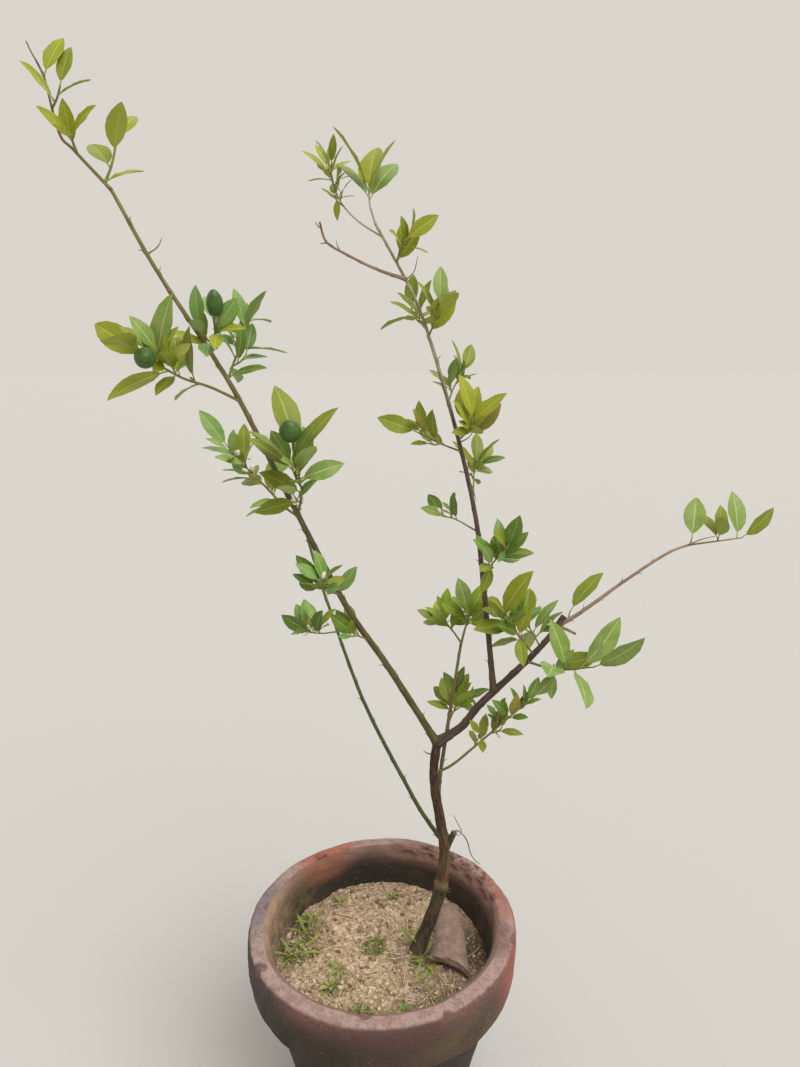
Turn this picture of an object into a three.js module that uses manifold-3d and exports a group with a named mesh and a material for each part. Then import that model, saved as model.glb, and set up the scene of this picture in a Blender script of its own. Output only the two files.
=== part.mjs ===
// A young lemon tree in a hand-thrown clay pot: a short grafted trunk that forks into a few long,
// open boughs, with sprays of leaves set along them and three small green lemons.
//
// Millimetres, +Z up. The origin is the centre of the pot's flat underside. From the front the
// eye looks along +Y, with +X to the right. A bearing turns from +X towards +Y and a climb rises
// from the level, both in degrees. A course is a straight stretch: [run, bearing, climb].

import * as THREE from "three";
import { mergeVertices } from "three/addons/utils/BufferGeometryUtils.js";
import Module from "manifold-3d";

const wasm = await Module();
wasm.setup();

const { degToRad, lerp } = THREE.MathUtils;
const UP = new THREE.Vector3(0, 0, 1);

// Clearance between neighbouring pieces
const GAP = 0.3;

// The pot: a 12 inch nursery pot with a deep collar, thrown thick
const POT_HEIGHT = 240;
const POT_FOOT_RADIUS = 92;
const POT_NECK_RADIUS = 133;
const POT_COLLAR_RADIUS = 151;
const POT_COLLAR_HEIGHT = 60;
const POT_NECK_COVE = 12;
const POT_COLLAR_EASE = 12;
const POT_BELLY = { share: 0.48, rise: 0.64 };
const POT_MOUTH_RADIUS = 126;
const POT_FLOOR = 22;
const POT_FLOOR_RADIUS = 84;
const POT_EDGE = 3;
const RIM_ROUND = 8;
const RIM_CREST_WIDTH = 6;
const RIM_THROAT = 13;
const POT_SIDES = 36;

// The soil: level where the tree stands, and worn a little lower along the wall
const SOIL_DEPTH_BELOW_RIM = 49;
const SOIL_TOP = POT_HEIGHT - SOIL_DEPTH_BELOW_RIM;
const SOIL_DIP = 4;
const SOIL_RADIUS = 122;
const SOIL_LEVEL_RADIUS = 108;
const WALL_GAP = 1.2 * GAP;

// The potsherd: a piece of an old pot's wall, laid with its hollow side down
const SHERD_CORNERS = {
  frontLeft: [55, -16],
  frontRight: [97, -37],
  backRight: [95, 50],
  backLeft: [78, 73],
};
const SHERD_THICK = 9;
const SHERD_RISE = 10;
const SHERD_BACK_RISE = 0.6;
const SHERD_STEPS = 6;

// The trunk's foot, its root flare, the healed graft and the stub of a pruned stem
const TRUNK_FOOT = [40, 3];
const FLARE = 5;
const FLARE_FADE = 14;
const GRAFT_AT = 88;
const GRAFT_SWELL = 1.6;
const GRAFT_FADE = 13;
const TRUNK_STUB = { on: "trunk", at: 132, courses: [[25, 18, 62]], thick: 8, thin: 6 };
const BOUGH_SPUR = { on: "right_bough", at: 180, courses: [[33, -18, -6]], thick: 3.4, thin: 2.2 };

// The limbs, each one taper from `thick` to `thin` (diameters), springing from the axis of the
// limb it grows `on`, `at` so many millimetres from that limb's foot
const LIMBS = [
  { name: "trunk", thick: 15.5, thin: 9, sides: 12, step: 14,
    courses: [[76, 12, 71], [55, 24, 83], [32, 152, 82], [59, 161, 81], [42, 36, 85]] },
  { name: "right_bough", on: "trunk", at: 264, thick: 9, thin: 6.2, sides: 10, step: 20,
    courses: [[33, 5, 34], [33, 15, 48], [83, 16, 40], [42, 22, 45]] },
  { name: "left_bough", on: "trunk", at: 264, thick: 7.6, thin: 2.8, sides: 8, step: 26,
    courses: [[119, -160, 60], [83, -146, 57], [140, -139, 62], [107, -142, 63], [101, -157, 59],
      [66, -159, 63]] },
  { name: "leader", on: "right_bough", at: 85, thick: 6.4, thin: 2.8, sides: 8, step: 26,
    courses: [[52, 121, 79], [59, 114, 76], [85, 130, 79], [99, 133, 71], [102, 141, 69],
      [47, 156, 67], [41, 158, 60], [44, 161, 59]] },
  { name: "right_arm", on: "right_bough", at: 188, thick: 3.8, thin: 2.4, sides: 6, step: 20,
    courses: [[32, 24, 20], [72, 29, 23], [60, 18, 27], [30, 16, 16]] },
  { name: "low_shoot", on: "trunk", at: 142, thick: 4.7, thin: 2.8, sides: 6, step: 24,
    courses: [[41, -159, 58], [41, -179, 62], [110, 156, 60], [116, 137, 61], [51, 134, 63],
      [43, 140, 66], [27, 160, 38]] },
  { name: "back_shoot", on: "trunk", at: 174, thick: 5, thin: 3.1, sides: 6, step: 20,
    courses: [[31, 94, 67], [49, 59, 75], [72, 55, 74], [42, 57, 73]] },
  { name: "bare_twig", on: "leader", at: 463, thick: 2.7, thin: 1.5, sides: 6, step: 14,
    courses: [[37, -149, 13], [40, -143, 18], [26, -140, 22], [20, -128, 62]] },
];

// The sprays: each one stem that springs from a limb, with its leaves and its side shoots. Its
// leaves are `leaf` long or a little less. They start where the `bare` share of the stem ends, the
// lowest one `turn` degrees round it. They lean out from it by the first angle of `spread` at the
// foot and the second at the tip, and `lift` draws them up towards the sky.
const SPRAYS = [
  { name: "left_tip_spray", on: "left_bough", at: 616, thick: 2.8, seed: 38,
    courses: [[34, -151, 46], [14, -143, 48], [37, -101, 71]],
    leaves: 3, leaf: 41, bare: 0.8, turn: 300, spread: [75, 12], lift: 0.8,
    shoots: [
      { at: 6, courses: [[18, 68, 59], [20, 74, 65]],
      leaves: 4, leaf: 47, bare: 0.05, turn: 300, spread: [30, 12], lift: 0 },
      { at: 32, courses: [[14, -82, 35]],
      leaves: 5, leaf: 52, bare: 0.05, turn: 140, spread: [30, 45], lift: 0.4 }] },
  { name: "outer_fruit_spray", on: "left_bough", at: 434, thick: 2.6, seed: 291,
    courses: [[30, -133, 24], [28, -134, 18], [25, -146, 31], [16, -138, 32]],
    leaves: 5, leaf: 56, bare: 0.6, turn: 140, spread: [75, 45], lift: 0.4,
    shoots: [{ at: 75, courses: [[17, -85, 39]],
      leaves: 3, leaf: 31, bare: 0.05, turn: 260, spread: [30, 45], lift: 0.8 }],
    fruit: { at: 90, courses: [[17, -70, -6]], diameter: 19 } },
  { name: "left_mid_spray", on: "left_bough", at: 454, thick: 2.2, seed: 6,
    courses: [[14, 73, 53], [15, 73, 47], [34, 64, 55]],
    leaves: 7, leaf: 39, bare: 0.05, turn: 160, spread: [75, 45], lift: 0 },
  { name: "left_upper_spray", on: "left_bough", at: 483, thick: 2.4, seed: 256,
    courses: [[21, -62, 27], [16, -61, 40]],
    leaves: 5, leaf: 39, bare: 0.05, turn: 120, spread: [75, 12], lift: 0.4,
    fruit: { at: 34, courses: [[6, -95, 56]], diameter: 20 } },
  { name: "inner_fruit_spray", on: "left_bough", at: 316, thick: 2.6, seed: 180,
    courses: [[31, -69, 58], [17, -107, 49], [28, -81, 73]],
    leaves: 6, leaf: 55, bare: 0.35, turn: 160, spread: [75, 45], lift: 0.8,
    fruit: { at: 72, courses: [[15, -96, 43]], diameter: 25 } },
  { name: "low_shoot_spray", on: "low_shoot", at: 429, thick: 2.8, seed: 283,
    courses: [[37, 164, 44], [33, 171, 45], [25, -179, 51]],
    leaves: 7, leaf: 50, bare: 0.05, turn: 300, spread: [60, 12], lift: 0 },
  { name: "low_front_spray", on: "left_bough", at: 219, thick: 2.2, seed: 33,
    courses: [[25, -122, 25], [18, -113, 48]],
    leaves: 5, leaf: 37, bare: 0.05, turn: 40, spread: [75, 45], lift: 0.8 },
  { name: "low_inner_spray", on: "left_bough", at: 154, thick: 2, seed: 183,
    courses: [[25, -131, 28]],
    leaves: 3, leaf: 33, bare: 0.8, turn: 80, spread: [60, 12], lift: 0.8 },
  { name: "low_back_spray", on: "low_shoot", at: 274, thick: 2, seed: 47,
    courses: [[17, -165, -2], [14, -166, 11]],
    leaves: 4, leaf: 39, bare: 0.8, turn: 20, spread: [75, 12], lift: 0.8 },
  { name: "crown_tip_spray", on: "leader", at: 529, thick: 2.8, seed: 105,
    courses: [[21, 147, 69], [18, 112, 76]],
    leaves: 6, leaf: 64, bare: 0.6, turn: 280, spread: [60, 45], lift: 0.8 },
  { name: "crown_left_spray", on: "leader", at: 514, thick: 2.2, seed: 227,
    courses: [[42, 145, 31], [29, 140, 52], [27, 145, 60]],
    leaves: 6, leaf: 43, bare: 0.8, turn: 280, spread: [45, 12], lift: 0.4 },
  { name: "crown_right_spray", on: "leader", at: 483, thick: 2, seed: 175,
    courses: [[17, -74, 42], [16, -66, 34]],
    leaves: 4, leaf: 47, bare: 0.35, turn: 300, spread: [30, 45], lift: 0.4 },
  { name: "upper_right_spray", on: "leader", at: 397, thick: 2.2, seed: 116,
    courses: [[22, -61, 50], [19, -73, 51]],
    leaves: 5, leaf: 49, bare: 0.05, turn: 0, spread: [30, 12], lift: 0.4 },
  { name: "upper_left_spray", on: "leader", at: 410, thick: 2, seed: 5,
    courses: [[16, 121, 17], [19, 120, 45]],
    leaves: 4, leaf: 44, bare: 0.05, turn: 40, spread: [75, 45], lift: 0 },
  { name: "mid_upper_spray", on: "leader", at: 322, thick: 2, seed: 126,
    courses: [[24, 63, 45], [21, 47, 43]],
    leaves: 5, leaf: 40, bare: 0.35, turn: 0, spread: [75, 12], lift: 0.8 },
  { name: "mid_right_spray", on: "leader", at: 279, thick: 2.2, seed: 188,
    courses: [[19, -58, 35], [15, -60, 53]],
    leaves: 5, leaf: 50, bare: 0.35, turn: 280, spread: [45, 45], lift: 0.8 },
  { name: "mid_left_spray", on: "leader", at: 266, thick: 2.2, seed: 227,
    courses: [[32, -150, 21], [32, -147, 25]],
    leaves: 4, leaf: 42, bare: 0.35, turn: 200, spread: [30, 45], lift: 0.8 },
  { name: "mid_low_spray", on: "leader", at: 207, thick: 2, seed: 18,
    courses: [[32, 85, 61], [15, 71, 58]],
    leaves: 4, leaf: 39, bare: 0.8, turn: 240, spread: [75, 12], lift: 0.4 },
  { name: "centre_left_spray", on: "leader", at: 177, thick: 2, seed: 153,
    courses: [[31, 140, 18], [19, 141, 4]],
    leaves: 4, leaf: 31, bare: 0.6, turn: 40, spread: [75, 12], lift: 0.8 },
  { name: "centre_right_spray", on: "leader", at: 118, thick: 2.2, seed: 4,
    courses: [[34, -75, 54], [37, -59, 43]],
    leaves: 7, leaf: 39, bare: 0.6, turn: 40, spread: [75, 12], lift: 0.4 },
  { name: "centre_spray", on: "back_shoot", at: 194, thick: 3, seed: 18,
    courses: [[18, 36, 72], [22, -5, 76]],
    leaves: 6, leaf: 43, bare: 0.8, turn: 160, spread: [45, 12], lift: 0.8,
    shoots: [{ at: 3, courses: [[19, 118, 25], [18, 128, 26]],
      leaves: 3, leaf: 39, bare: 0.8, turn: 320, spread: [30, 45], lift: 0.8 }] },
  { name: "fork_spray", on: "back_shoot", at: 105, thick: 2.2, seed: 183,
    courses: [[17, 52, 43], [13, 48, 32]],
    leaves: 6, leaf: 40, bare: 0.6, turn: 0, spread: [75, 45], lift: 0.4 },
  { name: "right_front_spray", on: "right_bough", at: 134, thick: 3, seed: 165,
    courses: [[40, -46, 4], [48, -45, 20]],
    leaves: 5, leaf: 69, bare: 0.6, turn: 100, spread: [75, 12], lift: 0.4,
    shoots: [{ at: 32, courses: [[17, -80, 1]],
      leaves: 3, leaf: 38, bare: 0.05, turn: 280, spread: [75, 45], lift: 0 }] },
  { name: "right_left_spray", on: "right_bough", at: 145, thick: 2.4, seed: 285,
    courses: [[48, -147, 50], [28, -138, 42]],
    leaves: 4, leaf: 51, bare: 0.35, turn: 320, spread: [75, 45], lift: 0.4 },
  { name: "right_back_spray", on: "right_bough", at: 156, thick: 2.2, seed: 163,
    courses: [[24, 103, 22], [15, 114, 24]],
    leaves: 4, leaf: 45, bare: 0.6, turn: 120, spread: [75, 45], lift: 0 },
  { name: "low_right_spray", on: "trunk", at: 228, thick: 3.2, seed: 206,
    courses: [[25, -29, 35], [42, -33, 48], [43, -39, 49], [53, -38, 49]],
    leaves: 4, leaf: 30, bare: 0.6, turn: 320, spread: [30, 45], lift: 0.8 },
  { name: "right_tip_spray", on: "right_arm", at: 194, thick: 2.4, seed: 197,
    courses: [[37, 9, 5], [31, 10, 5]],
    leaves: 6, leaf: 49, bare: 0.05, turn: 200, spread: [45, 45], lift: 0.8 },
  { name: "arm_spray", on: "right_arm", at: 13, thick: 2, seed: 1,
    courses: [[11, 66, 38]],
    leaves: 1, leaf: 59, bare: 0.9, turn: 0, spread: [20, 20], lift: 0 },
];

// How a twig carries its leaves: each turns on from the last by the golden angle, and the last
// one sits just short of the twig's tip. A leaf with no room turns on a little, a few times over.
const GOLDEN_ANGLE = 137.5;
const LAST_LEAF_AT = 0.98;
const TURN_ON = 50;
const TRIES = 7;
const TWIG_TIP = 1.4;
const TWIG_STEP = 14;
const SHOOT_THICK = 0.8;

// How far one leaf differs from the next, in degrees and in shares of its size
const LEAF_STRAY = { spread: 16, roll: 50, turn: 20 };
const LEAF_LENGTHS = [0.8, 1.1];
const LEAF_WIDTHS = [0.9, 1.15];

// Blades turn their upper side to the light, and partly to the twig's own tip
const LIGHT = new THREE.Vector3(0.1, -0.75, 0.65);
const TWIG_PULL = 0.6;

// A lemon leaf: its width as a share of its length, its thickness, fold and curl, and the share
// of its half width at each station along it. The first two stations are the stalk.
const LEAF_WIDTH = 0.34;
const LEAF_THICK = 1.1;
const LEAF_FOLD = 20;
const LEAF_CURL = 26;
const LEAF_STATIONS = [0, 0.13, 0.42, 0.74, 1];
const LEAF_OUTLINE = [0, 0, 1, 0.72, 0];
const STALK_HALF = 0.8;

// The room that a leaf holds, in balls along it, and the room that a twig or limb holds
const LEAF_ROOM = 0.1;
const LEAF_ROOM_AT = [0.35, 0.6, 0.85];
const WOOD_ROOM = 1;
const WOOD_ROOM_STEP = 6;

// A fruit's mesh, its stalk, and how much of its radius the stalk's end stays short of its middle
const FRUIT_SIDES = 12;
const FRUIT_RINGS = 9;
const FRUIT_STALK_HALF = 1;
const FRUIT_SEAT = 0.84;

// Finishes
const finish = (color, roughness) => new THREE.MeshStandardMaterial({ color, roughness, metalness: 0 });
const CLAY = finish(0x8a5a4c, 0.9);
const EARTH = finish(0xa08c6c, 1);
const OLD_CLAY = finish(0xa58a80, 0.95);
const TRUNK_BARK = finish(0x5b4a35, 0.9);
const BOUGH_BARK = finish(0x6e5f3a, 0.85);
const GREEN_BARK = finish(0x66722e, 0.7);
const LEAF_GREEN = finish(0x7f9a35, 0.55);
const LIMB_FINISH = { trunk: TRUNK_BARK, right_bough: TRUNK_BARK, low_shoot: GREEN_BARK };

// Solids

function solidOf(geometry) {
  const bare = geometry.clone();
  bare.deleteAttribute("normal");
  bare.deleteAttribute("uv");
  const merged = mergeVertices(bare, 1e-4);
  const index = merged.index.array;
  const triVerts = [];
  for (let i = 0; i < index.length; i += 3) {
    const [a, b, c] = index.subarray(i, i + 3);
    if (a !== b && b !== c && c !== a) triVerts.push(a, b, c);
  }
  return new wasm.Manifold(
    new wasm.Mesh({
      numProp: 3,
      vertProperties: merged.attributes.position.array,
      triVerts: new Uint32Array(triVerts),
    }),
  );
}

function geometryOf(solid) {
  const mesh = solid.getMesh();
  const geometry = new THREE.BufferGeometry();
  geometry.setAttribute("position", new THREE.BufferAttribute(mesh.vertProperties, 3));
  geometry.setIndex(new THREE.BufferAttribute(mesh.triVerts, 1));
  const faceted = geometry.toNonIndexed();
  faceted.computeVertexNormals();
  return faceted;
}

// The largest body of a solid, so that a sliver left by a cut is dropped
function mainBody(solid) {
  return solid.decompose().reduce((best, body) => (body.volume() > best.volume() ? body : best));
}

// Curves and limbs

function heading(bearing, climb) {
  const b = degToRad(bearing);
  const c = degToRad(climb);
  return new THREE.Vector3(Math.cos(b) * Math.cos(c), Math.sin(b) * Math.cos(c), Math.sin(c));
}

function routeOf(start, courses) {
  const points = [start.clone()];
  for (const [run, bearing, climb] of courses)
    points.push(points.at(-1).clone().addScaledVector(heading(bearing, climb), run));
  if (points.length === 2) points.splice(1, 0, points[0].clone().lerp(points[1], 0.5));
  return new THREE.CatmullRomCurve3(points, false, "catmullrom", 0.5);
}

// A cylinder bent along a curve. `halfAt(share)` gives each ring's radius, and `grow` widens it
// and carries both ends on, which makes the cutter that leaves a gap round a limb.
function bentRod(curve, halfAt, sides, steps, grow = 0) {
  const rod = new THREE.CylinderGeometry(1, 1, 1, sides, steps);
  const { normals, binormals, tangents } = curve.computeFrenetFrames(steps);
  const place = rod.attributes.position;
  for (let i = 0; i < place.count; i++) {
    const ring = Math.round((place.getY(i) + 0.5) * steps);
    const reach = halfAt(ring / steps) + grow;
    const point = curve
      .getPointAt(ring / steps)
      .addScaledVector(binormals[ring], place.getX(i) * reach)
      .addScaledVector(normals[ring], place.getZ(i) * reach);
    if (ring === 0) point.addScaledVector(tangents[ring], -grow);
    if (ring === steps) point.addScaledVector(tangents[ring], grow);
    place.setXYZ(i, ...point.toArray());
  }
  return solidOf(rod);
}

function pointAlong(curve, run) {
  return curve.getPointAt(Math.min(run / curve.getLength(), 1));
}

const limbs = new Map();

function startOf({ on, at }) {
  return pointAlong(limbs.get(on).curve, at);
}

function trunkHalf(share, length) {
  const run = share * length;
  const flare = FLARE * Math.exp(-run / FLARE_FADE);
  const graft = GRAFT_SWELL * Math.exp(-(((run - GRAFT_AT) / GRAFT_FADE) ** 2));
  return flare / 2 + graft;
}

function growLimb(limb) {
  const foot = limb.on ? startOf(limb) : new THREE.Vector3(...TRUNK_FOOT, SOIL_TOP + GAP);
  const curve = routeOf(foot, limb.courses);
  const length = curve.getLength();
  const extra = limb.on ? () => 0 : (share) => trunkHalf(share, length);
  const halfAt = (share) => lerp(limb.thick, limb.thin, share) / 2 + extra(share);
  const steps = Math.round(length / limb.step);
  const rod = (grow) => bentRod(curve, halfAt, limb.sides, steps, grow);
  return { ...limb, curve, length, halfAt, solid: rod(0), cutter: rod(GAP) };
}

// A short cut end, fused to the limb that it stands on
function stubSolid(stub) {
  const curve = routeOf(startOf(stub), stub.courses);
  return bentRod(curve, (share) => lerp(stub.thick, stub.thin, share) / 2, 6, 2);
}

// The tree stands on a flat cut: whatever the lean brings below it is taken off
function groundCutter() {
  const side = 5 * LIMBS[0].thick;
  const slab = new THREE.BoxGeometry(side, side, side);
  slab.translate(...TRUNK_FOOT, SOIL_TOP + GAP - side / 2);
  return solidOf(slab);
}

function growLimbs() {
  for (const limb of LIMBS) {
    const grown = growLimb(limb);
    for (const older of limbs.values()) grown.solid = grown.solid.subtract(older.cutter);
    limbs.set(limb.name, grown);
  }
  const trunk = limbs.get("trunk");
  trunk.solid = trunk.solid.add(stubSolid(TRUNK_STUB)).subtract(groundCutter());
  const bough = limbs.get("right_bough");
  bough.solid = bough.solid.add(stubSolid(BOUGH_SPUR)).subtract(trunk.cutter);
  for (const limb of limbs.values()) limb.solid = mainBody(limb.solid);
}

// Leaves

// Draws in 0..1 that come out the same on every run
function luckFrom(seed) {
  let state = seed * 9973;
  return () => {
    state = (state * 1664525 + 1013904223) % 4294967296;
    return state / 4294967296;
  };
}

// Where a leaf grows, which way it points, and how its blade faces the twig's tip and the light
function aimLeaf(root, along, turn, spread, lift, roll, length) {
  const side = new THREE.Vector3().crossVectors(UP, along).normalize();
  const over = new THREE.Vector3().crossVectors(along, side);
  const around = degToRad(turn);
  const away = degToRad(spread);
  const direction = along
    .clone()
    .multiplyScalar(Math.cos(away))
    .addScaledVector(side, Math.sin(away) * Math.cos(around))
    .addScaledVector(over, Math.sin(away) * Math.sin(around))
    .addScaledVector(UP, lift)
    .normalize();
  const square = (v) => v.clone().addScaledVector(direction, -v.dot(direction));
  const face = square(along).setLength(TWIG_PULL).add(square(LIGHT)).normalize();
  face.applyAxisAngle(direction, degToRad(roll));
  return { root, direction, face, length };
}

// A point of the midrib, and the way the blade faces there, on the arc that the leaf curls along
function alongLeaf({ root, direction, face, length }, share) {
  const curl = degToRad(LEAF_CURL);
  const angle = curl * share;
  const radius = length / curl;
  const point = root
    .clone()
    .addScaledVector(direction, radius * Math.sin(angle))
    .addScaledVector(face, -radius * (1 - Math.cos(angle)));
  const facing = face.clone().multiplyScalar(Math.cos(angle)).addScaledVector(direction, Math.sin(angle));
  return { point, facing };
}

// A leaf is a four-sided rod, flattened to a blade that folds up along its midrib
function leafSolid(leaf) {
  const steps = LEAF_STATIONS.length - 1;
  const rod = new THREE.CylinderGeometry(1, 1, 1, 4, steps);
  const across = new THREE.Vector3().crossVectors(leaf.direction, leaf.face);
  const place = rod.attributes.position;
  for (let i = 0; i < place.count; i++) {
    const station = Math.round((place.getY(i) + 0.5) * steps);
    const { point, facing } = alongLeaf(leaf, LEAF_STATIONS[station]);
    const tip = station === steps;
    const stalk = LEAF_OUTLINE[station] === 0;
    const half = tip ? 0 : STALK_HALF + LEAF_OUTLINE[station] * leaf.half;
    const rise = stalk ? 0 : half * Math.abs(place.getX(i)) * Math.tan(degToRad(LEAF_FOLD));
    const thick = tip ? 0 : stalk ? STALK_HALF : LEAF_THICK / 2;
    point.addScaledVector(across, place.getX(i) * half);
    point.addScaledVector(facing, rise + place.getZ(i) * thick);
    place.setXYZ(i, ...point.toArray());
  }
  return solidOf(rod);
}

// Balls of room that leaves and limbs hold, so that a new leaf keeps clear of them
const claimed = [];

function roomOf(leaf) {
  return LEAF_ROOM_AT.map((share) => ({
    centre: alongLeaf(leaf, share).point,
    radius: leaf.length * LEAF_ROOM,
  }));
}

function isFree(leaf) {
  return roomOf(leaf).every((ball) =>
    claimed.every((held) => held.centre.distanceTo(ball.centre) > held.radius + ball.radius),
  );
}

function claimAlong(curve, length, halfAt) {
  const balls = Math.ceil(length / WOOD_ROOM_STEP);
  for (let i = 0; i <= balls; i++)
    claimed.push({ centre: curve.getPointAt(i / balls), radius: halfAt(i / balls) + WOOD_ROOM });
}

// The leaves of one twig, from its lowest to the one at its tip
function leavesOf(twig, luck) {
  const leaves = [];
  for (let i = 0; i < twig.leaves; i++) {
    const share = twig.leaves === 1 ? 1 : i / (twig.leaves - 1);
    const at = lerp(twig.bare, LAST_LEAF_AT, share);
    const root = twig.curve.getPointAt(at);
    const along = twig.curve.getTangentAt(at);
    const spread = lerp(...twig.spread, share) + LEAF_STRAY.spread * (luck() - 0.5);
    const roll = LEAF_STRAY.roll * (luck() - 0.5);
    const length = twig.leaf * lerp(...LEAF_LENGTHS, luck());
    const turn = twig.turn + i * GOLDEN_ANGLE + LEAF_STRAY.turn * (luck() - 0.5);
    const half = (LEAF_WIDTH * length * lerp(...LEAF_WIDTHS, luck())) / 2;
    for (let tries = 0; tries < TRIES; tries++) {
      const turned = turn + tries * TURN_ON;
      const leaf = { ...aimLeaf(root, along, turned, spread, twig.lift, roll, length), half };
      if (!isFree(leaf)) continue;
      claimed.push(...roomOf(leaf));
      leaves.push(leaf);
      break;
    }
  }
  return leaves;
}

// Sprays

function fruitSolid(fruit, stem) {
  const stalk = routeOf(pointAlong(stem, fruit.at), fruit.courses);
  const radius = fruit.diameter / 2;
  const centre = stalk.getPoint(1).addScaledVector(stalk.getTangent(1), radius * FRUIT_SEAT);
  const ball = new THREE.SphereGeometry(radius, FRUIT_SIDES, FRUIT_RINGS);
  ball.translate(...centre.toArray());
  claimed.push({ centre, radius: radius + WOOD_ROOM });
  return bentRod(stalk, () => FRUIT_STALK_HALF, 5, 3).add(solidOf(ball));
}

function twigOf(spec, start, thick, sides) {
  const curve = routeOf(start, spec.courses);
  const halfAt = (share) => lerp(thick, TWIG_TIP, share) / 2;
  const steps = Math.max(2, Math.round(curve.getLength() / TWIG_STEP));
  return { ...spec, curve, halfAt, solid: bentRod(curve, halfAt, sides, steps) };
}

// Every stem and shoot is grown first, so that all leaves keep clear of all twigs
function growStems() {
  return SPRAYS.map((spray) => {
    const stem = twigOf(spray, startOf(spray), spray.thick, 4);
    const shoots = (spray.shoots ?? []).map((shoot) =>
      twigOf(shoot, pointAlong(stem.curve, shoot.at), spray.thick * SHOOT_THICK, 3),
    );
    const fruit = spray.fruit && fruitSolid(spray.fruit, stem.curve);
    return { name: spray.name, seed: spray.seed, twigs: [stem, ...shoots], fruit };
  });
}

// One spray fused into one solid, cut clear of every limb
function spraySolid({ seed, twigs, fruit }) {
  const luck = luckFrom(seed);
  let solid = twigs[0].solid;
  for (const twig of twigs.slice(1)) solid = solid.add(twig.solid);
  if (fruit) solid = solid.add(fruit);
  for (const twig of twigs)
    for (const leaf of leavesOf(twig, luck)) solid = solid.add(leafSolid(leaf));
  for (const limb of limbs.values()) solid = solid.subtract(limb.cutter);
  return mainBody(solid);
}

// The pot, the soil and the potsherd

// The wall swells a little from foot to neck, and a cove leads into the collar's rounded foot
function potGeometry() {
  const crest = POT_HEIGHT;
  const collarFoot = crest - POT_COLLAR_HEIGHT;
  const neckZ = collarFoot - POT_NECK_COVE;
  const belly = lerp(POT_FOOT_RADIUS, POT_NECK_RADIUS, POT_BELLY.share);
  const collarEdge = POT_COLLAR_RADIUS - POT_EDGE;
  const rimFoot = crest - RIM_ROUND;
  const rimInner = POT_COLLAR_RADIUS - RIM_ROUND - RIM_CREST_WIDTH;
  const outline = new THREE.Path();
  outline.moveTo(0, 0);
  outline.lineTo(POT_FOOT_RADIUS - POT_EDGE, 0);
  outline.lineTo(POT_FOOT_RADIUS, POT_EDGE);
  outline.quadraticCurveTo(belly, neckZ * POT_BELLY.rise, POT_NECK_RADIUS, neckZ);
  outline.quadraticCurveTo(POT_NECK_RADIUS + POT_EDGE, collarFoot, collarEdge, collarFoot + POT_EDGE);
  outline.quadraticCurveTo(POT_COLLAR_RADIUS, collarFoot + POT_COLLAR_EASE, POT_COLLAR_RADIUS, rimFoot);
  outline.quadraticCurveTo(POT_COLLAR_RADIUS, crest, POT_COLLAR_RADIUS - RIM_ROUND, crest);
  outline.lineTo(rimInner, crest);
  outline.quadraticCurveTo(POT_MOUTH_RADIUS, crest, POT_MOUTH_RADIUS, crest - RIM_THROAT);
  outline.lineTo(SOIL_RADIUS, SOIL_TOP);
  outline.lineTo(POT_FLOOR_RADIUS, POT_FLOOR);
  outline.lineTo(0, POT_FLOOR);
  return new THREE.LatheGeometry(outline.getPoints(3), POT_SIDES);
}

function soilGeometry() {
  const edge = SOIL_TOP - SOIL_DIP;
  const slope = (SOIL_RADIUS - POT_FLOOR_RADIUS) / (SOIL_TOP - POT_FLOOR);
  const wallAt = (z) => POT_FLOOR_RADIUS + slope * (z - POT_FLOOR) - WALL_GAP;
  const outline = new THREE.Path();
  outline.moveTo(0, POT_FLOOR + GAP);
  outline.lineTo(wallAt(POT_FLOOR), POT_FLOOR + GAP);
  outline.lineTo(wallAt(edge), edge);
  outline.lineTo(SOIL_LEVEL_RADIUS, SOIL_TOP);
  outline.lineTo(0, SOIL_TOP);
  return new THREE.LatheGeometry(outline.getPoints(1), POT_SIDES);
}

// A block bent to an arch across its width, with its corners drawn to the sherd's own
function sherdGeometry() {
  const block = new THREE.BoxGeometry(2, 2, 1, SHERD_STEPS, 3, 1);
  const place = block.attributes.position;
  const { frontLeft, frontRight, backLeft, backRight } = SHERD_CORNERS;
  const blend = (i, u, v) => {
    const front = lerp(frontLeft[i], frontRight[i], u);
    const back = lerp(backLeft[i], backRight[i], u);
    return lerp(front, back, v);
  };
  for (let i = 0; i < place.count; i++) {
    const u = (place.getX(i) + 1) / 2;
    const v = (place.getY(i) + 1) / 2;
    const arch = SHERD_RISE * 4 * u * (1 - u) * lerp(1, SHERD_BACK_RISE, v);
    const lift = SOIL_TOP + GAP + (place.getZ(i) + 0.5) * SHERD_THICK;
    place.setXYZ(i, blend(0, u, v), blend(1, u, v), lift + arch);
  }
  return geometryOf(solidOf(block));
}

// The lathe turns about Y, so what it makes is stood up onto Z
function standUp(geometry) {
  return geometryOf(solidOf(geometry.rotateX(Math.PI / 2)));
}

// The model

const tree = new THREE.Group();

function addPiece(name, geometry, material) {
  const mesh = new THREE.Mesh(geometry, material);
  mesh.name = name;
  tree.add(mesh);
}

addPiece("pot", standUp(potGeometry()), CLAY);
addPiece("soil", standUp(soilGeometry()), EARTH);
addPiece("potsherd", sherdGeometry(), OLD_CLAY);

growLimbs();
for (const { name, solid } of limbs.values())
  addPiece(name, geometryOf(solid), LIMB_FINISH[name] ?? BOUGH_BARK);

const sprays = growStems();
for (const { curve, length, halfAt } of limbs.values()) claimAlong(curve, length, halfAt);
for (const spray of sprays)
  for (const { curve, halfAt } of spray.twigs) claimAlong(curve, curve.getLength(), halfAt);
for (const spray of sprays) addPiece(spray.name, geometryOf(spraySolid(spray)), LEAF_GREEN);

export default tree;
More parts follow.
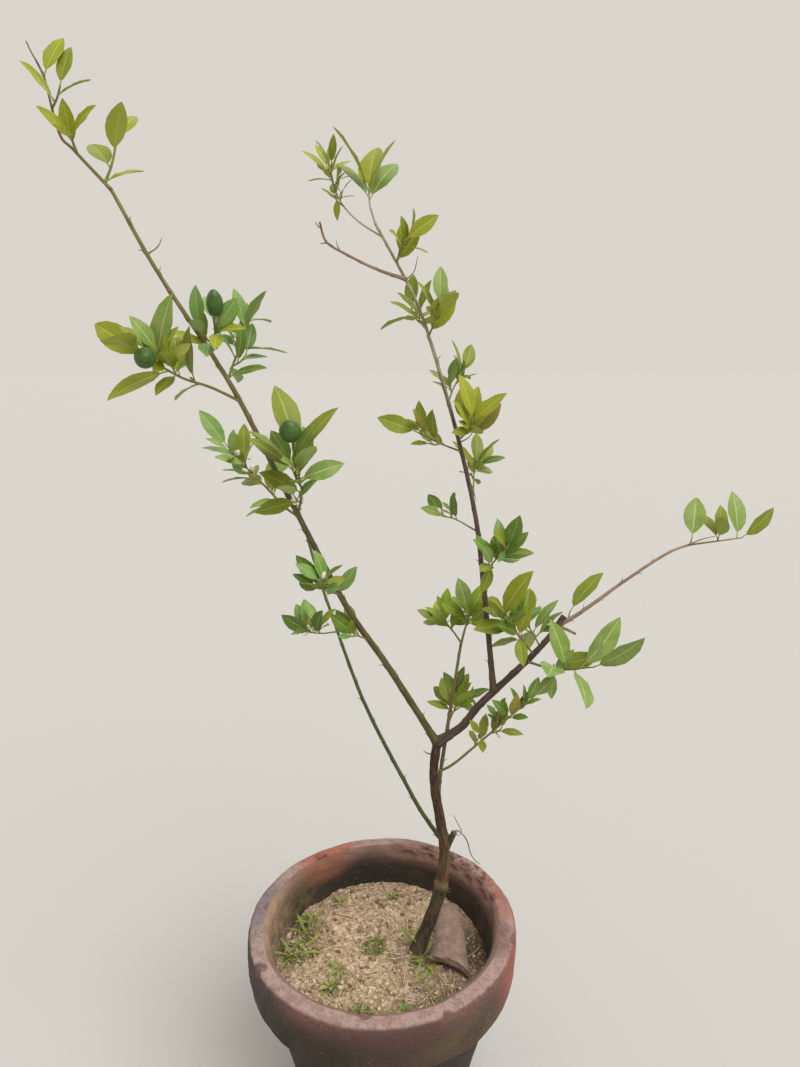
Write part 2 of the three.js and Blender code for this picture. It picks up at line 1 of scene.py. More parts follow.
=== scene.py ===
"""The looks of a young lemon tree in a hand-thrown clay pot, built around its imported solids.

Lengths are in millimetres until a mesh is made. The origin is the centre of the pot's underside,
+Z is up, and the front of the tree faces -Y. A bearing turns from +X towards +Y and a climb rises
from the level, both in degrees. A course is a straight stretch: (run, bearing, climb).
"""

import math
from functools import lru_cache
from typing import NamedTuple

import bmesh
import bpy
import numpy as np
from bpy.props import FloatProperty, FloatVectorProperty, IntProperty, PointerProperty
from bpy.types import Operator, Panel, PropertyGroup
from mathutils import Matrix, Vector, noise


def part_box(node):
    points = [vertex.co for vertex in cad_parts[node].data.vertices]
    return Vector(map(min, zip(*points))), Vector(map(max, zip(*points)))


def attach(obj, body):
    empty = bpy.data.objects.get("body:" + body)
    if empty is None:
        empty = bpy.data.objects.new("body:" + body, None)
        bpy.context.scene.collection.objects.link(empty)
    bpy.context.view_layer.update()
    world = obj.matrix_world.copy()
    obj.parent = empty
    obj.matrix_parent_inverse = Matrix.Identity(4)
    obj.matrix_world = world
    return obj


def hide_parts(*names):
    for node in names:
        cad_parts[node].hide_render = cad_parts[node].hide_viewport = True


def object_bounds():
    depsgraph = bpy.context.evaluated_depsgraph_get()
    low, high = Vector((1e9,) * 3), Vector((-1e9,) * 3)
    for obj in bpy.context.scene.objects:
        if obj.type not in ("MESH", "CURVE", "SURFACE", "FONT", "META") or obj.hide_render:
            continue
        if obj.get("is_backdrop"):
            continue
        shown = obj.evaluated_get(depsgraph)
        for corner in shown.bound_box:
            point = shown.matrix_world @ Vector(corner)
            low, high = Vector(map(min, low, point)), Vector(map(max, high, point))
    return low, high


bl_info = {
    "name": "Potted Lemon Tree",
    "version": (1, 0, 0),
    "blender": (4, 5, 0),
    "location": "View3D > Sidebar > Lemon Tree",
    "description": "A grafted lemon tree with bark, leaves and green fruit in a weathered clay pot",
    "category": "Add Mesh",
}

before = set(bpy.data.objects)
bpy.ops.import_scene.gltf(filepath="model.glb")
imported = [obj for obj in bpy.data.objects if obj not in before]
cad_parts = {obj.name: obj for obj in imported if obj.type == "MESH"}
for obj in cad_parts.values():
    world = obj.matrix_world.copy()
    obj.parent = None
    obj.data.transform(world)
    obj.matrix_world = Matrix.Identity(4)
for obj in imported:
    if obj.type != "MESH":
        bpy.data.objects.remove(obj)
CAD_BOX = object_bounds()

MM = 0.001
UP = np.array([0.0, 0.0, 1.0])
RIGHT = np.array([1.0, 0.0, 0.0])
STEEP = 0.9
TURN = 2 * math.pi

# Seeded draws, from a linear congruential generator, and what each kind of draw starts from
LUCK_STEP = 9973
LUCK_TIMES = 1664525
LUCK_PLUS = 1013904223
LUCK_RANGE = 2**32
LITTER_SEED = 61
SEEDLING_SEED = 23
TINT_SEED = 7
NODE_SEED = 7
SPINE_SEED = 31
FINE_SEED = 1000

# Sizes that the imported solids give
POT_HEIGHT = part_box("pot")[1].z / MM
COLLAR_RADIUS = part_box("pot")[1].x / MM
SOIL_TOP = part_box("soil")[1].z / MM

# The pot's profile: a deep collar on a wall that swells a little from foot to neck
FOOT_RADIUS = 92
NECK_RADIUS = 133
COLLAR_HEIGHT = 60
NECK_COVE = 12
COLLAR_EASE = 12
BELLY = {"share": 0.48, "rise": 0.64}
MOUTH_RADIUS = 126
FLOOR = 22
FLOOR_RADIUS = 84
EDGE = 3
RIM_ROUND = 8
RIM_CREST_WIDTH = 6
RIM_INNER_RADIUS = COLLAR_RADIUS - RIM_ROUND - RIM_CREST_WIDTH
RIM_THROAT = 13
ARC_CELLS = 2.5
POT_CELL = 2.6
POT_TURNS = 256

# How far the thrown wall strays from true, and the size of what strays. It strays more with height
# above the foot, and not at all near the axis or inside, below the soil.
POT_OVAL = {"deep": 1.1, "bearing": 35}
POT_DENT = {"deep": 1.5, "size": 48}
POT_RIDGE = {"deep": 0.6, "size": 6}
POT_GRIT = {"deep": 0.55, "size": 6}
CREST_WEAR = {"deep": 0.8, "size": 18, "below": 6}
TRUE_RADIUS = 60
TRUE_BELOW_SOIL = 12
STRAY_RISE = 30

# Chips in the rim: bearing, distance from the axis, depth below the crest, reach and cut
RIM_CHIPS = [
    (127, 132, 4, 13, 5.5),
    (112, 131, 5, 9, 5.0),
    (84, 131, 5, 12, 4.0),
    (66, 132, 3, 15, 5.5),
    (54, 133, 2, 14, 6.0),
    (42, 133, 2, 13, 5.0),
    (30, 132, 3, 12, 4.5),
    (16, 131, 4, 11, 3.5),
    (-12, 149, 2, 9, 3.5),
    (-63, 148, 1, 8, 3.0),
    (-97, 132, 2, 9, 3.0),
    (-150, 147, 1, 10, 3.0),
    (172, 133, 3, 9, 3.0),
]

# From which cut a chip's hollow holds painted shadow, how flat chips are, how much they fall
# away, and their crumbs
SHADED_CHIP_CUT = 5.5
CHIP_FLATNESS = 0.7
CHIP_FALL = 1.1
CHIP_CRUMBS = {"even": 0.8, "rough": 0.9, "size": 4}
# Where the rim's inner lip has crumbled and is undercut: its bearings and how they fade, how far
# below the crest and how wide it is, its depth, and the size of its crumbs
TORN_LIP = {"from": 2, "to": 88, "fade": 14, "below": 8, "wide": 4.5, "deep": 4.2, "size": 8}
TORN_CRUMBS = {"even": 0.65, "rough": 0.9, "fine": 0.4, "fine_size": 3, "most": 1.6}

# The soil, level where the tree stands and worn lower along the wall. Its lumps are (size, rise).
SOIL_DIP = 4
SOIL_RADIUS = 121.6
SOIL_LEVEL_RADIUS = 86.4
SOIL_CELLS = 230
SOIL_DEPTH = 30
SOIL_SKIRT = 0.93
SOIL_SINK = 1.2
SOIL_LUMPS = [(32, 2.4), (11, 1.7), (4.6, 1.2)]
SOIL_BACK = {"rise": 6, "from": 30, "over": 80}
SOIL_MARGIN = 3
TRUNK_MOUND = {"rise": 4.0, "reach": 17}
SHERD_BED = {"place": (82, 18), "reach": 42, "deep": 1.6}
SHERD_COVER = {"middle": 80, "half": 26, "front": -30, "back": 62}

# What lies and grows on the soil. A tint is the piece's name, its colour and its second tone.
GRIT_COUNT = 950
GRIT_SIZES = (1.0, 3.4)
GRIT_TINTS = [
    ("pale_limestone_grit", "#d8c3a2", "#bfa988"),
    ("brown_grit", "#8f765b", "#6f5b46"),
    ("soil_crumbs", "#b89d7b", "#957d5f"),
]
STRAW_COUNT = 380
STRAW_LENGTHS = (5, 30)
STRAW_HALVES = (0.25, 0.6)
STRAW_BOW = 0.12
STRAW_LIE = 0.9
# Weed seedlings: place, leaves, leaf length, how far they lean out, half width as a share of the
# length, tint
SEEDLINGS = [
    ((35, 11), 7, 36, (3, 32), 0.040, "bright"),
    ((46, -8), 8, 34, (6, 58), 0.045, "bright"),
    ((50, -14), 9, 15, (20, 80), 0.15, "yellow"),
    ((58, -24), 8, 12, (30, 85), 0.17, "yellow"),
    ((44, -45), 5, 20, (10, 50), 0.06, "bright"),
    ((30, 34), 6, 13, (20, 70), 0.12, "yellow"),
    ((11, 89), 12, 11, (10, 80), 0.14, "yellow"),
    ((-54, 80), 6, 15, (10, 60), 0.10, "yellow"),
    ((-57, -45), 10, 16, (15, 75), 0.16, "yellow"),
    ((-49, -25), 6, 18, (20, 75), 0.11, "bright"),
    ((-27, -81), 8, 12, (10, 65), 0.14, "bright"),
    ((25, -78), 7, 12, (10, 60), 0.14, "bright"),
    ((5, -52), 4, 13, (10, 60), 0.12, "yellow"),
    ((-92, 29), 7, 38, (3, 38), 0.035, "bright"),
    ((-104, -4), 9, 36, (6, 62), 0.040, "bright"),
    ((-90, 4), 7, 28, (20, 74), 0.045, "yellow"),
    ((-97, 52), 9, 16, (8, 65), 0.15, "bright"),
    ((-84, 44), 5, 34, (2, 30), 0.035, "yellow"),
    ((-10, 14), 10, 9, (20, 80), 0.16, "bright"),
    ((66, -70), 7, 9, (20, 80), 0.17, "bright"),
]
SEEDLING_CURL = 62
SEEDLING_LENGTHS = (0.7, 1.1)
SEEDLING_TURN = 30
SEEDLING_LIGHT = 0.05
# Moss tufts: their sizes and rise, and the patches' places, widths and numbers of tufts
MOSS_SIZES = (1.2, 2.6)
MOSS_RISES = (0.7, 1.3)
MOSS_PATCHES = [
    ((-9, 13), 26, 150),
    ((-104, -6), 17, 120),
    ((-98, 40), 20, 90),
    ((12, 90), 12, 70),
    ((-55, -46), 18, 90),
    ((40, -12), 16, 90),
    ((-20, -84), 22, 80),
    ((62, -72), 20, 60),
]

# Green films of algae on the soil: place, reach, strength and colour
GREEN_FILMS = [
    ((-10, 12), 26, 1.0, "#6c6c3c"),
    ((-100, 14), 50, 1.0, "#65622f"),
    ((-55, -42), 34, 0.8, "#74723e"),
    ((0, -88), 45, 0.6, "#77743f"),
]

# The potsherd: a piece of an old pot's wall, laid with its hollow side down
SHERD_CORNERS = {
    "front_left": (53, -15),
    "front_right": (97, -37),
    "back_right": (96, 52),
    "back_left": (71, 73),
}
SHERD_THICK = 9
SHERD_SPREAD = (40, 90, SHERD_THICK)
SHERD_RISE = 9
SHERD_BACK_RISE = 0.6
SHERD_EDGE = {"deep": 1.0, "wide": 0.02}
SHERD_SHARP = 50
SHERD_CUTS = 40
SHERD_GAP = 0.3

# The trunk's foot, its root flare, the healed graft, the pruned stub and the bough's dead spur
TRUNK_FOOT = (40, 3)
ROOT_DEPTH = 5.0
FLARE = 5
FLARE_FADE = 14
GRAFT_AT = 88
GRAFT_SWELL = 1.6
GRAFT_FADE = 13
STUB_ROUGH = {"deep": 0.25, "size": 2.5}
STUBS = [
    ("trunk", 132, 8.6, 6.4, [(25, 18, 62)]),
    ("right_bough", 184, 7.4, 6.8, [(16, 22, 52)]),
]
# Dead twiglets, too thin for a solid of their own
TWIGLETS = [
    ("trunk", 132, 1.9, 0.9,
     [(25, 18, 62), (9, 0, -18), (12, 0, -58), (14, 0, -76), (11, 0, -62), (9, 0, -42)]),
    ("trunk", 132, 1.6, 0.7, [(25, 18, 62), (7, 0, -8), (3, 60, 60), (10, 176, 62), (10, 178, 66)]),
    ("right_bough", 186, 4.4, 2.6, [(9, -10, -14), (13, -10, -24)]),
    ("trunk", 92, 1.6, 0.5, [(7, -20, 30), (5, -10, 70)]),
    ("trunk", 88, 1.5, 0.5, [(8, -35, -10), (5, -30, -40)]),
    ("trunk", 84, 1.4, 0.4, [(8, 5, 5), (6, 10, -30)]),
    ("trunk", 95, 1.5, 0.5, [(8, -150, 15), (4, -140, 40)]),
    ("trunk", 98, 1.3, 0.5, [(8, -60, 20), (4, -50, 50)]),
    ("trunk", 146, 1.6, 0.7, [(9, 10, 40), (12, -20, 8)]),
    ("trunk", 250, 2.4, 1.0, [(8, 190, 12), (6, 170, 25)]),
    ("leader", 236, 1.5, 0.6, [(13, -70, -30), (17, -60, -62)]),
    ("leader", 276, 1.6, 0.7, [(12, -20, 30), (9, 0, 55)]),
    ("leader", 462, 1.7, 0.6, [(15, 40, 40), (16, 20, 75)]),
    ("left_bough", 566, 1.4, 0.6, [(10, 20, 35), (8, 40, 60)]),
    ("left_tip_spray", 83, 1.8, 0.9, [(9, -150, 66), (8, 180, 62), (7, 165, 66)]),
    ("bare_twig", 84, 1.5, 0.6, [(6, 160, 55), (6, 150, 75)]),
    ("bare_twig", 102, 1.5, 0.8, [(7, -160, -8)]),
    ("bare_twig", 117, 1.5, 0.7, [(6, 150, 35), (4, 160, 60)]),
    ("right_arm", 190, 1.8, 0.7, [(18, -12, 28), (16, -20, 20)]),
    ("right_bough", 58, 3.6, 2.4, [(7, 120, 60), (6, 140, 40)]),
]

# The camera that gives the photo's view: its place in metres, lens and sensor, and tilt down
CAMERA_PLACE = (0.020, -0.749, 0.867)
CAMERA_LENS = 25.81
CAMERA_SENSOR = 36
CAMERA_TILT = 13.3

# Wide soft lamps: name, the way it stands, strength, and how wide it is in degrees. The main one
# stands at the right, as the light does in the photo. The surroundings are as bright as the lit
# floor, so that no horizon shows.
LAMPS = [
    ("key", (2.2, -2.0, 4.2), 2.2, 45),
    ("back", (0.6, 3.2, 3.6), 0.6, 60),
]
FLOOR_SHEEN = 1.042
FLOOR_COLOUR = "#b9b7b3"
FLOOR_HALF = 30

# The limbs, each from its start on an older one, with their thickness at both ends
LIMBS = [
    dict(name="trunk", thick=15.5, thin=9,
         courses=[(76, 12, 71), (55, 24, 83), (32, 152, 82), (59, 161, 81), (42, 36, 85)]),
    dict(name="right_bough", on="trunk", at=264, thick=9, thin=6.2,
         courses=[(33, 5, 34), (33, 15, 48), (83, 16, 40), (42, 22, 45)]),
    dict(name="left_bough", on="trunk", at=264, thick=7.6, thin=2.8,
         courses=[(119, -160, 60), (83, -146, 57), (140, -139, 62), (107, -142, 63), (101, -157, 59),
                  (66, -159, 63)]),
    dict(name="leader", on="right_bough", at=85, thick=6.4, thin=2.8,
         courses=[(52, 121, 79), (59, 114, 76), (85, 130, 79), (99, 133, 71), (102, 141, 69),
                  (47, 156, 67), (41, 158, 60), (44, 161, 59)]),
    dict(name="right_arm", on="right_bough", at=188, thick=4.4, thin=2.9,
         courses=[(32, 24, 20), (72, 29, 23), (60, 18, 27), (30, 16, 16)]),
    dict(name="low_shoot", on="trunk", at=142, thick=4.7, thin=2.8,
         courses=[(41, -159, 58), (41, -179, 62), (110, 156, 60), (116, 137, 61), (51, 134, 63),
                  (43, 140, 66), (27, 160, 38)]),
    dict(name="back_shoot", on="trunk", at=174, thick=5, thin=3.1,
         courses=[(31, 94, 67), (49, 59, 75), (72, 55, 74), (42, 57, 73)]),
    dict(name="bare_twig", on="leader", at=463, thick=3.5, thin=2.1,
         courses=[(37, -149, 13), (40, -143, 18), (26, -140, 22), (20, -128, 62)]),
]

# The sprays of foliage: the limb that each springs from and where, its stem's thickness and
# courses, and the seed of its draws. A habit is how a twig carries its leaves: their number and
# length, the bare share of the twig, the first leaf's turn, the spread at the twig's foot and at
# its tip, how much they lift, and their width where it isn't the usual. Some sprays have side
# shoots, and some a fruit.
SPRAYS = [
    dict(name="left_tip_spray", on="left_bough", at=616, thick=2.8, seed=6,
         courses=[(34, -151, 46), (14, -143, 48), (37, -101, 71)],
         habit=(2, 38, 0.9, 300, (15, 45), 0),
         shoots=[dict(at=6, courses=[(18, 68, 59), (20, 74, 65)],
                      habit=(4, 38, 0.05, 220, (75, 45), 0.8)),
                 dict(at=32, courses=[(14, -82, 35)], habit=(5, 38, 0.4, 120, (15, 45), 0.4))]),
    dict(name="outer_fruit_spray", on="left_bough", at=434, thick=2.6, seed=291,
         courses=[(30, -133, 24), (28, -134, 18), (25, -146, 31), (16, -138, 32)],
         habit=(5, 56, 0.6, 140, (75, 45), 0.4),
         shoots=[dict(at=75, courses=[(17, -85, 39)], habit=(3, 31, 0.05, 260, (30, 45), 0.8))],
         fruit=dict(at=90, courses=[(18, -72, -3)], diameter=16)),
    dict(name="left_mid_spray", on="left_bough", at=454, thick=2.2, seed=6,
         courses=[(14, 73, 53), (15, 73, 47), (34, 64, 55)], habit=(7, 39, 0.05, 160, (75, 45), 0)),
    dict(name="left_upper_spray", on="left_bough", at=483, thick=2.4, seed=256,
         courses=[(21, -62, 27), (16, -61, 40)], habit=(5, 39, 0.05, 120, (75, 12), 0.4),
         fruit=dict(at=34, courses=[(10, -88, 76)], diameter=15)),
    dict(name="inner_fruit_spray", on="left_bough", at=316, thick=2.6, seed=180,
         courses=[(31, -69, 58), (17, -107, 49), (28, -81, 73)],
         habit=(6, 55, 0.35, 160, (75, 45), 0.8),
         fruit=dict(at=72, courses=[(17, -96, 52)], diameter=19)),
    dict(name="low_shoot_spray", on="low_shoot", at=429, thick=2.8, seed=283,
         courses=[(37, 164, 44), (33, 171, 45), (25, -179, 51)],
         habit=(7, 50, 0.05, 300, (60, 12), 0)),
    dict(name="low_front_spray", on="left_bough", at=219, thick=2.2, seed=33,
         courses=[(25, -122, 25), (18, -113, 48)], habit=(5, 37, 0.05, 40, (75, 45), 0.8)),
    dict(name="low_inner_spray", on="left_bough", at=154, thick=2, seed=183,
         courses=[(25, -131, 28)], habit=(3, 33, 0.8, 80, (60, 12), 0.8)),
    dict(name="low_back_spray", on="low_shoot", at=274, thick=2, seed=47,
         courses=[(17, -165, -2), (14, -166, 11)], habit=(4, 39, 0.8, 20, (75, 12), 0.8)),
    dict(name="crown_tip_spray", on="leader", at=529, thick=2.8, seed=821,
         courses=[(21, 147, 69), (18, 112, 76)], habit=(5, 70, 0.7, 200, (45, 30), 0.4)),
    dict(name="crown_left_spray", on="leader", at=514, thick=2.2, seed=227,
         courses=[(37, 155, 32), (33, 145, 44), (40, 145, 64)],
         habit=(6, 36, 0.86, 280, (75, 12), 0.4, 0.66)),
    dict(name="crown_right_spray", on="leader", at=483, thick=2, seed=487,
         courses=[(17, -74, 42), (16, -66, 34)], habit=(4, 40, 0.05, 300, (30, 45), 0.4)),
    dict(name="upper_right_spray", on="leader", at=397, thick=2.2, seed=366,
         courses=[(22, -61, 50), (19, -73, 51)], habit=(2, 52, 0.05, 300, (15, 45), 0.4)),
    dict(name="upper_left_spray", on="leader", at=410, thick=2, seed=5,
         courses=[(16, 121, 17), (19, 120, 45)], habit=(4, 44, 0.05, 40, (75, 45), 0)),
    dict(name="mid_upper_spray", on="leader", at=322, thick=2, seed=126,
         courses=[(24, 63, 45), (21, 47, 43)], habit=(5, 40, 0.35, 0, (75, 12), 0.8)),
    dict(name="mid_right_spray", on="leader", at=279, thick=2.2, seed=188,
         courses=[(19, -58, 35), (15, -60, 53)], habit=(5, 50, 0.35, 280, (45, 45), 0.8)),
    dict(name="mid_left_spray", on="leader", at=266, thick=2.2, seed=227,
         courses=[(32, -150, 21), (32, -147, 25)], habit=(4, 42, 0.35, 200, (30, 45), 0.8)),
    dict(name="mid_low_spray", on="leader", at=207, thick=2, seed=18,
         courses=[(32, 85, 61), (15, 71, 58)], habit=(4, 39, 0.8, 240, (75, 12), 0.4)),
    dict(name="centre_left_spray", on="leader", at=177, thick=2, seed=153,
         courses=[(31, 140, 18), (19, 141, 4)], habit=(4, 31, 0.6, 40, (75, 12), 0.8)),
    dict(name="centre_right_spray", on="leader", at=118, thick=2.2, seed=4,
         courses=[(34, -75, 54), (37, -59, 43)], habit=(7, 39, 0.6, 40, (75, 12), 0.4)),
    dict(name="centre_spray", on="back_shoot", at=194, thick=3, seed=18,
         courses=[(18, 36, 72), (22, -5, 76)], habit=(6, 43, 0.8, 160, (45, 12), 0.8),
         shoots=[dict(at=3, courses=[(19, 118, 25), (18, 128, 26)],
                      habit=(3, 39, 0.8, 320, (30, 45), 0.8))]),
    dict(name="fork_spray", on="back_shoot", at=105, thick=2.2, seed=183,
         courses=[(17, 52, 43), (13, 48, 32)], habit=(6, 40, 0.6, 0, (75, 45), 0.4)),
    dict(name="right_front_spray", on="right_bough", at=134, thick=3, seed=165,
         courses=[(40, -46, 4), (48, -45, 20)], habit=(5, 69, 0.6, 100, (75, 12), 0.4),
         shoots=[dict(at=32, courses=[(17, -80, 1)], habit=(3, 38, 0.05, 280, (75, 45), 0))]),
    dict(name="right_left_spray", on="right_bough", at=145, thick=2.4, seed=710,
         courses=[(48, -147, 50), (28, -138, 42)], habit=(3, 60, 0.4, 120, (75, 45), 0.4)),
    dict(name="right_back_spray", on="right_bough", at=156, thick=2.2, seed=163,
         courses=[(24, 103, 22), (15, 114, 24)], habit=(4, 45, 0.6, 120, (75, 45), 0)),
    dict(name="low_right_spray", on="trunk", at=228, thick=3.2, seed=206,
         courses=[(25, -29, 35), (42, -33, 48), (43, -39, 49), (53, -38, 49)],
         habit=(4, 30, 0.6, 320, (30, 45), 0.8)),
    dict(name="right_tip_spray", on="right_arm", at=194, thick=2.4, seed=59,
         courses=[(37, 9, 5), (31, 10, 5)], habit=(2, 56, 0.9, 60, (75, 12), 0.8),
         shoots=[dict(at=1, courses=[(7, 9, 75)], habit=(1, 56, 0.05, 0, (75, 30), 0.4, 1.35)),
                 dict(at=36, courses=[(5, 9, 80)], habit=(3, 48, 0.4, 20, (75, 12), 0.8, 1.2))]),
    dict(name="arm_spray", on="right_arm", at=13, thick=2, seed=394,
         courses=[(11, 66, 38)], habit=(1, 64, 0.05, 180, (60, 45), 0.8)),
]

SPRAY_NAMES = [row["name"] for row in SPRAYS]

# How a twig carries its leaves: each turns on from the last by the golden angle, and the last
# one sits just short of the twig's tip. A leaf with no room turns on a little, a few times over.
GOLDEN_ANGLE = 137.5
LAST_LEAF_AT = 0.98
TURN_ON = 50
TRIES = 7
TWIG_TIP = 1.4
SHOOT_THICK = 0.8
WOODY_THICK = 2.4
LEAF_STRAY = {"spread": 16, "roll": 50, "turn": 20}
LEAF_LENGTHS = (0.8, 1.1)
LEAF_WIDTHS = (0.9, 1.15)

# Blades turn their upper side to the light, and partly to the twig's own tip
LIGHT = np.array([0.1, -0.75, 0.65])
TWIG_PULL = 0.6

# A lemon leaf: its width as a share of its length, its curl, and the room that it holds
LEAF_WIDTH = 0.34
LEAF_CURL = 26
LEAF_FOLD = 20
LEAF_ROOM = 0.1
LEAF_ROOM_AT = (0.35, 0.6, 0.85)
WOOD_ROOM = 1
WOOD_ROOM_STEP = 6

# Blades: their stations along the leaf, the share of the half width at each station, and their
# columns across. The full blade's middle column is its midrib.
STALK_SHARE = 0.12
BLADE = (
    (0.0, 0.07, 0.22, 0.40, 0.58, 0.76, 0.91, 1.0),
    (0.0, 0.36, 0.80, 1.0, 0.97, 0.70, 0.30, 0.0),
    (-1.0, -0.55, -0.06, 0.06, 0.55, 1.0),
)
SMALL_BLADE = ((0.0, 0.18, 0.50, 0.80, 1.0), (0.0, 0.62, 1.0, 0.62, 0.0), (-1.0, 0.0, 1.0))
FULL_BLADE_FROM = 26
LEAF_THICK = 0.4
BLADE_WIDEN = 1.1
BLADE_SAG = 0.22
BLADE_RIPPLE = {"deep": 0.07, "waves": 2.2}
RIB_SWELL = 0.5
RIB_COLUMN = 0.1
LEAF_RIM = 60
# A leaf's stalk, thinner towards its blade
STALK = {"thick": 1.5, "thin": 1.0, "into_blade": 1.3}
# Side veins: how far they swing forward, the gap between two, and their colour
VEIN_SWING = 0.8
VEIN_GAP = 5
VEIN_COLOUR = "#c9cf86"

# How far a fruit's middle lies past its stalk's end, as a share of its radius
FRUIT_SEAT = 0.84
# How much longer than wide each lemon is, by the spray's name, and its tip and seat, which stand
# out by a share of its radius
FRUIT_LONG = {"outer_fruit_spray": 1.06, "left_upper_spray": 1.36, "inner_fruit_spray": 1.05}
FRUIT_NIPPLE = 0.09
FRUIT_NECK = 0.10
FRUIT_POINTED = 0.02
FRUIT_LUMPS = {"deep": 0.02, "size": 6}
FRUIT_STALK = {"thick": 2.2, "thin": 2.0, "calyx": 5.6}

# Finer growth in the leaf axils: side shoots that lean out from the twig and bend up halfway, each
# with a few small leaves
FINE_SHOOT = {
    "from": 0.6, "least_from": 0.08, "to": 0.96, "turn": 60, "lean": (38, 70), "lift": 0.35,
    "runs": (6, 16), "bend": 0.5, "thick": 1.5, "leaf": (0.5, 0.9), "least_leaf": 18,
}
FINE_HABIT = {"leaves": 3, "bare": 0.3, "spread": (62, 22), "lift": 0.3}
FINE_REACH = 10
# Flower buds: spray, share of its stem, how many
BUDS = [
    ("low_shoot_spray", 0.55, 3), ("low_shoot_spray", 0.8, 2), ("low_front_spray", 0.9, 2),
    ("low_back_spray", 0.98, 3), ("inner_fruit_spray", 0.12, 2), ("fork_spray", 0.9, 2),
    ("centre_left_spray", 0.97, 1),
]
BUD_SIZE = (2.3, 4.2)
BUD_BASE = -0.45
BUD_STALK = {"thick": 1.0, "thin": 1.2, "turn": 50, "spread": 58, "lift": 0.5}
BUD_STALK_RUNS = (4, 1.5)

# Nodes along a limb: where the first is, how far the last stays from the tip, the gap between two
# and how it varies, and their swelling and its reach. Spines grow at the nodes of some limbs.
NODES = {"first": 16.0, "last": 6, "gap": 23, "stray": (0.7, 1.3), "swell": 0.45, "reach": 2.2}
SPINE_LENGTHS = (3.5, 8.0)
SPINE_THICK = 1.5
SPINE_TIP = 0.25
SPINE_AIM = {"spread": 62, "lift": 0.1}
SPINY = ["left_bough", "leader", "right_arm", "low_shoot", "back_shoot"]
COLLAR_SWELL = 0.28
COLLAR_FADE = 11
# Bark relief by limb: how deep in millimetres, and how wide its ridges are
BARK = {"trunk": (0.75, 3.4), "right_bough": (0.45, 2.8)}
SMOOTH_BARK = (0.16, 2.4)
RING_STEP = {"trunk": 1.5, "right_bough": 1.8}
RING_SIDES = {"trunk": 40, "right_bough": 28}
FINE_RING_STEP = 2.4
FINE_RING_SIDES = 18

# Leaf tints: upper side, its second tone, underside, midrib. Young leaves are the yellow ones.
LEAF_TINTS = {
    "mature": ("#536f22", "#627c2a", "#7c964a", "#8a9c4c"),
    "olive": ("#76861f", "#848b28", "#8f9f44", "#9ba44c"),
    "young": ("#8a951e", "#979a28", "#9ca63e", "#acb24c"),
    "bright": ("#7b9a22", "#8ca32c", "#96ac44", "#a3b24e"),
    "pale": ("#76903f", "#86994c", "#9fb06a", "#a8b470"),
    "sage": ("#6f9344", "#7f9c50", "#92ab68", "#9ab06c"),
    "bronze": ("#7e7630", "#877b34", "#969654", "#9c9a50"),
    "seedling_bright": ("#6f803a", "#7d8c46", "#868f54", "#949c60"),
    "seedling_yellow": ("#888a44", "#979250", "#94925a", "#a09c66"),
}
# Each spray's foliage: its number of fine shoots, its main tint, the tint of its finer growth, and
# one that a few of its leaves take
FOLIAGE = {
    "left_tip_spray": (1, "young", "olive", "olive"),
    "outer_fruit_spray": (4, "young", "olive", "pale"),
    "left_mid_spray": (3, "sage", "sage", "mature"),
    "left_upper_spray": (3, "young", "olive", "sage"),
    "inner_fruit_spray": (4, "olive", "pale", "sage"),
    "low_shoot_spray": (6, "sage", "pale", "olive"),
    "low_front_spray": (3, "sage", "olive", "mature"),
    "low_inner_spray": (2, "mature", "olive", "sage"),
    "low_back_spray": (3, "mature", "olive", "sage"),
    "crown_tip_spray": (0, "young", "olive", "pale"),
    "crown_left_spray": (7, "young", "young", "pale"),
    "crown_right_spray": (1, "young", "olive", "pale"),
    "upper_right_spray": (2, "young", "olive", "pale"),
    "upper_left_spray": (2, "olive", "olive", "pale"),
    "mid_upper_spray": (3, "olive", "young", "mature"),
    "mid_right_spray": (4, "young", "olive", "bronze"),
    "mid_left_spray": (2, "olive", "olive", "bronze"),
    "mid_low_spray": (3, "olive", "mature", "young"),
    "centre_left_spray": (1, "mature", "olive", "pale"),
    "centre_right_spray": (7, "mature", "olive", "sage"),
    "centre_spray": (8, "bright", "olive", "pale"),
    "fork_spray": (6, "mature", "olive", "bright"),
    "right_front_spray": (1, "pale", "olive", "sage"),
    "right_left_spray": (5, "olive", "mature", "young"),
    "right_back_spray": (3, "mature", "olive", "pale"),
    "low_right_spray": (6, "mature", "olive", "bronze"),
    "right_tip_spray": (0, "olive", "young", "pale"),
    "arm_spray": (0, "olive", "olive", "olive"),
}
# How many leaves, as a share, take the third tint, and up to where fine ones take the second
RARE_TINT = 0.22
FINE_TINT = 0.8

# The sprays whose own twigs are pale
PALE_TWIGS = ("crown_left_spray", "crown_tip_spray")
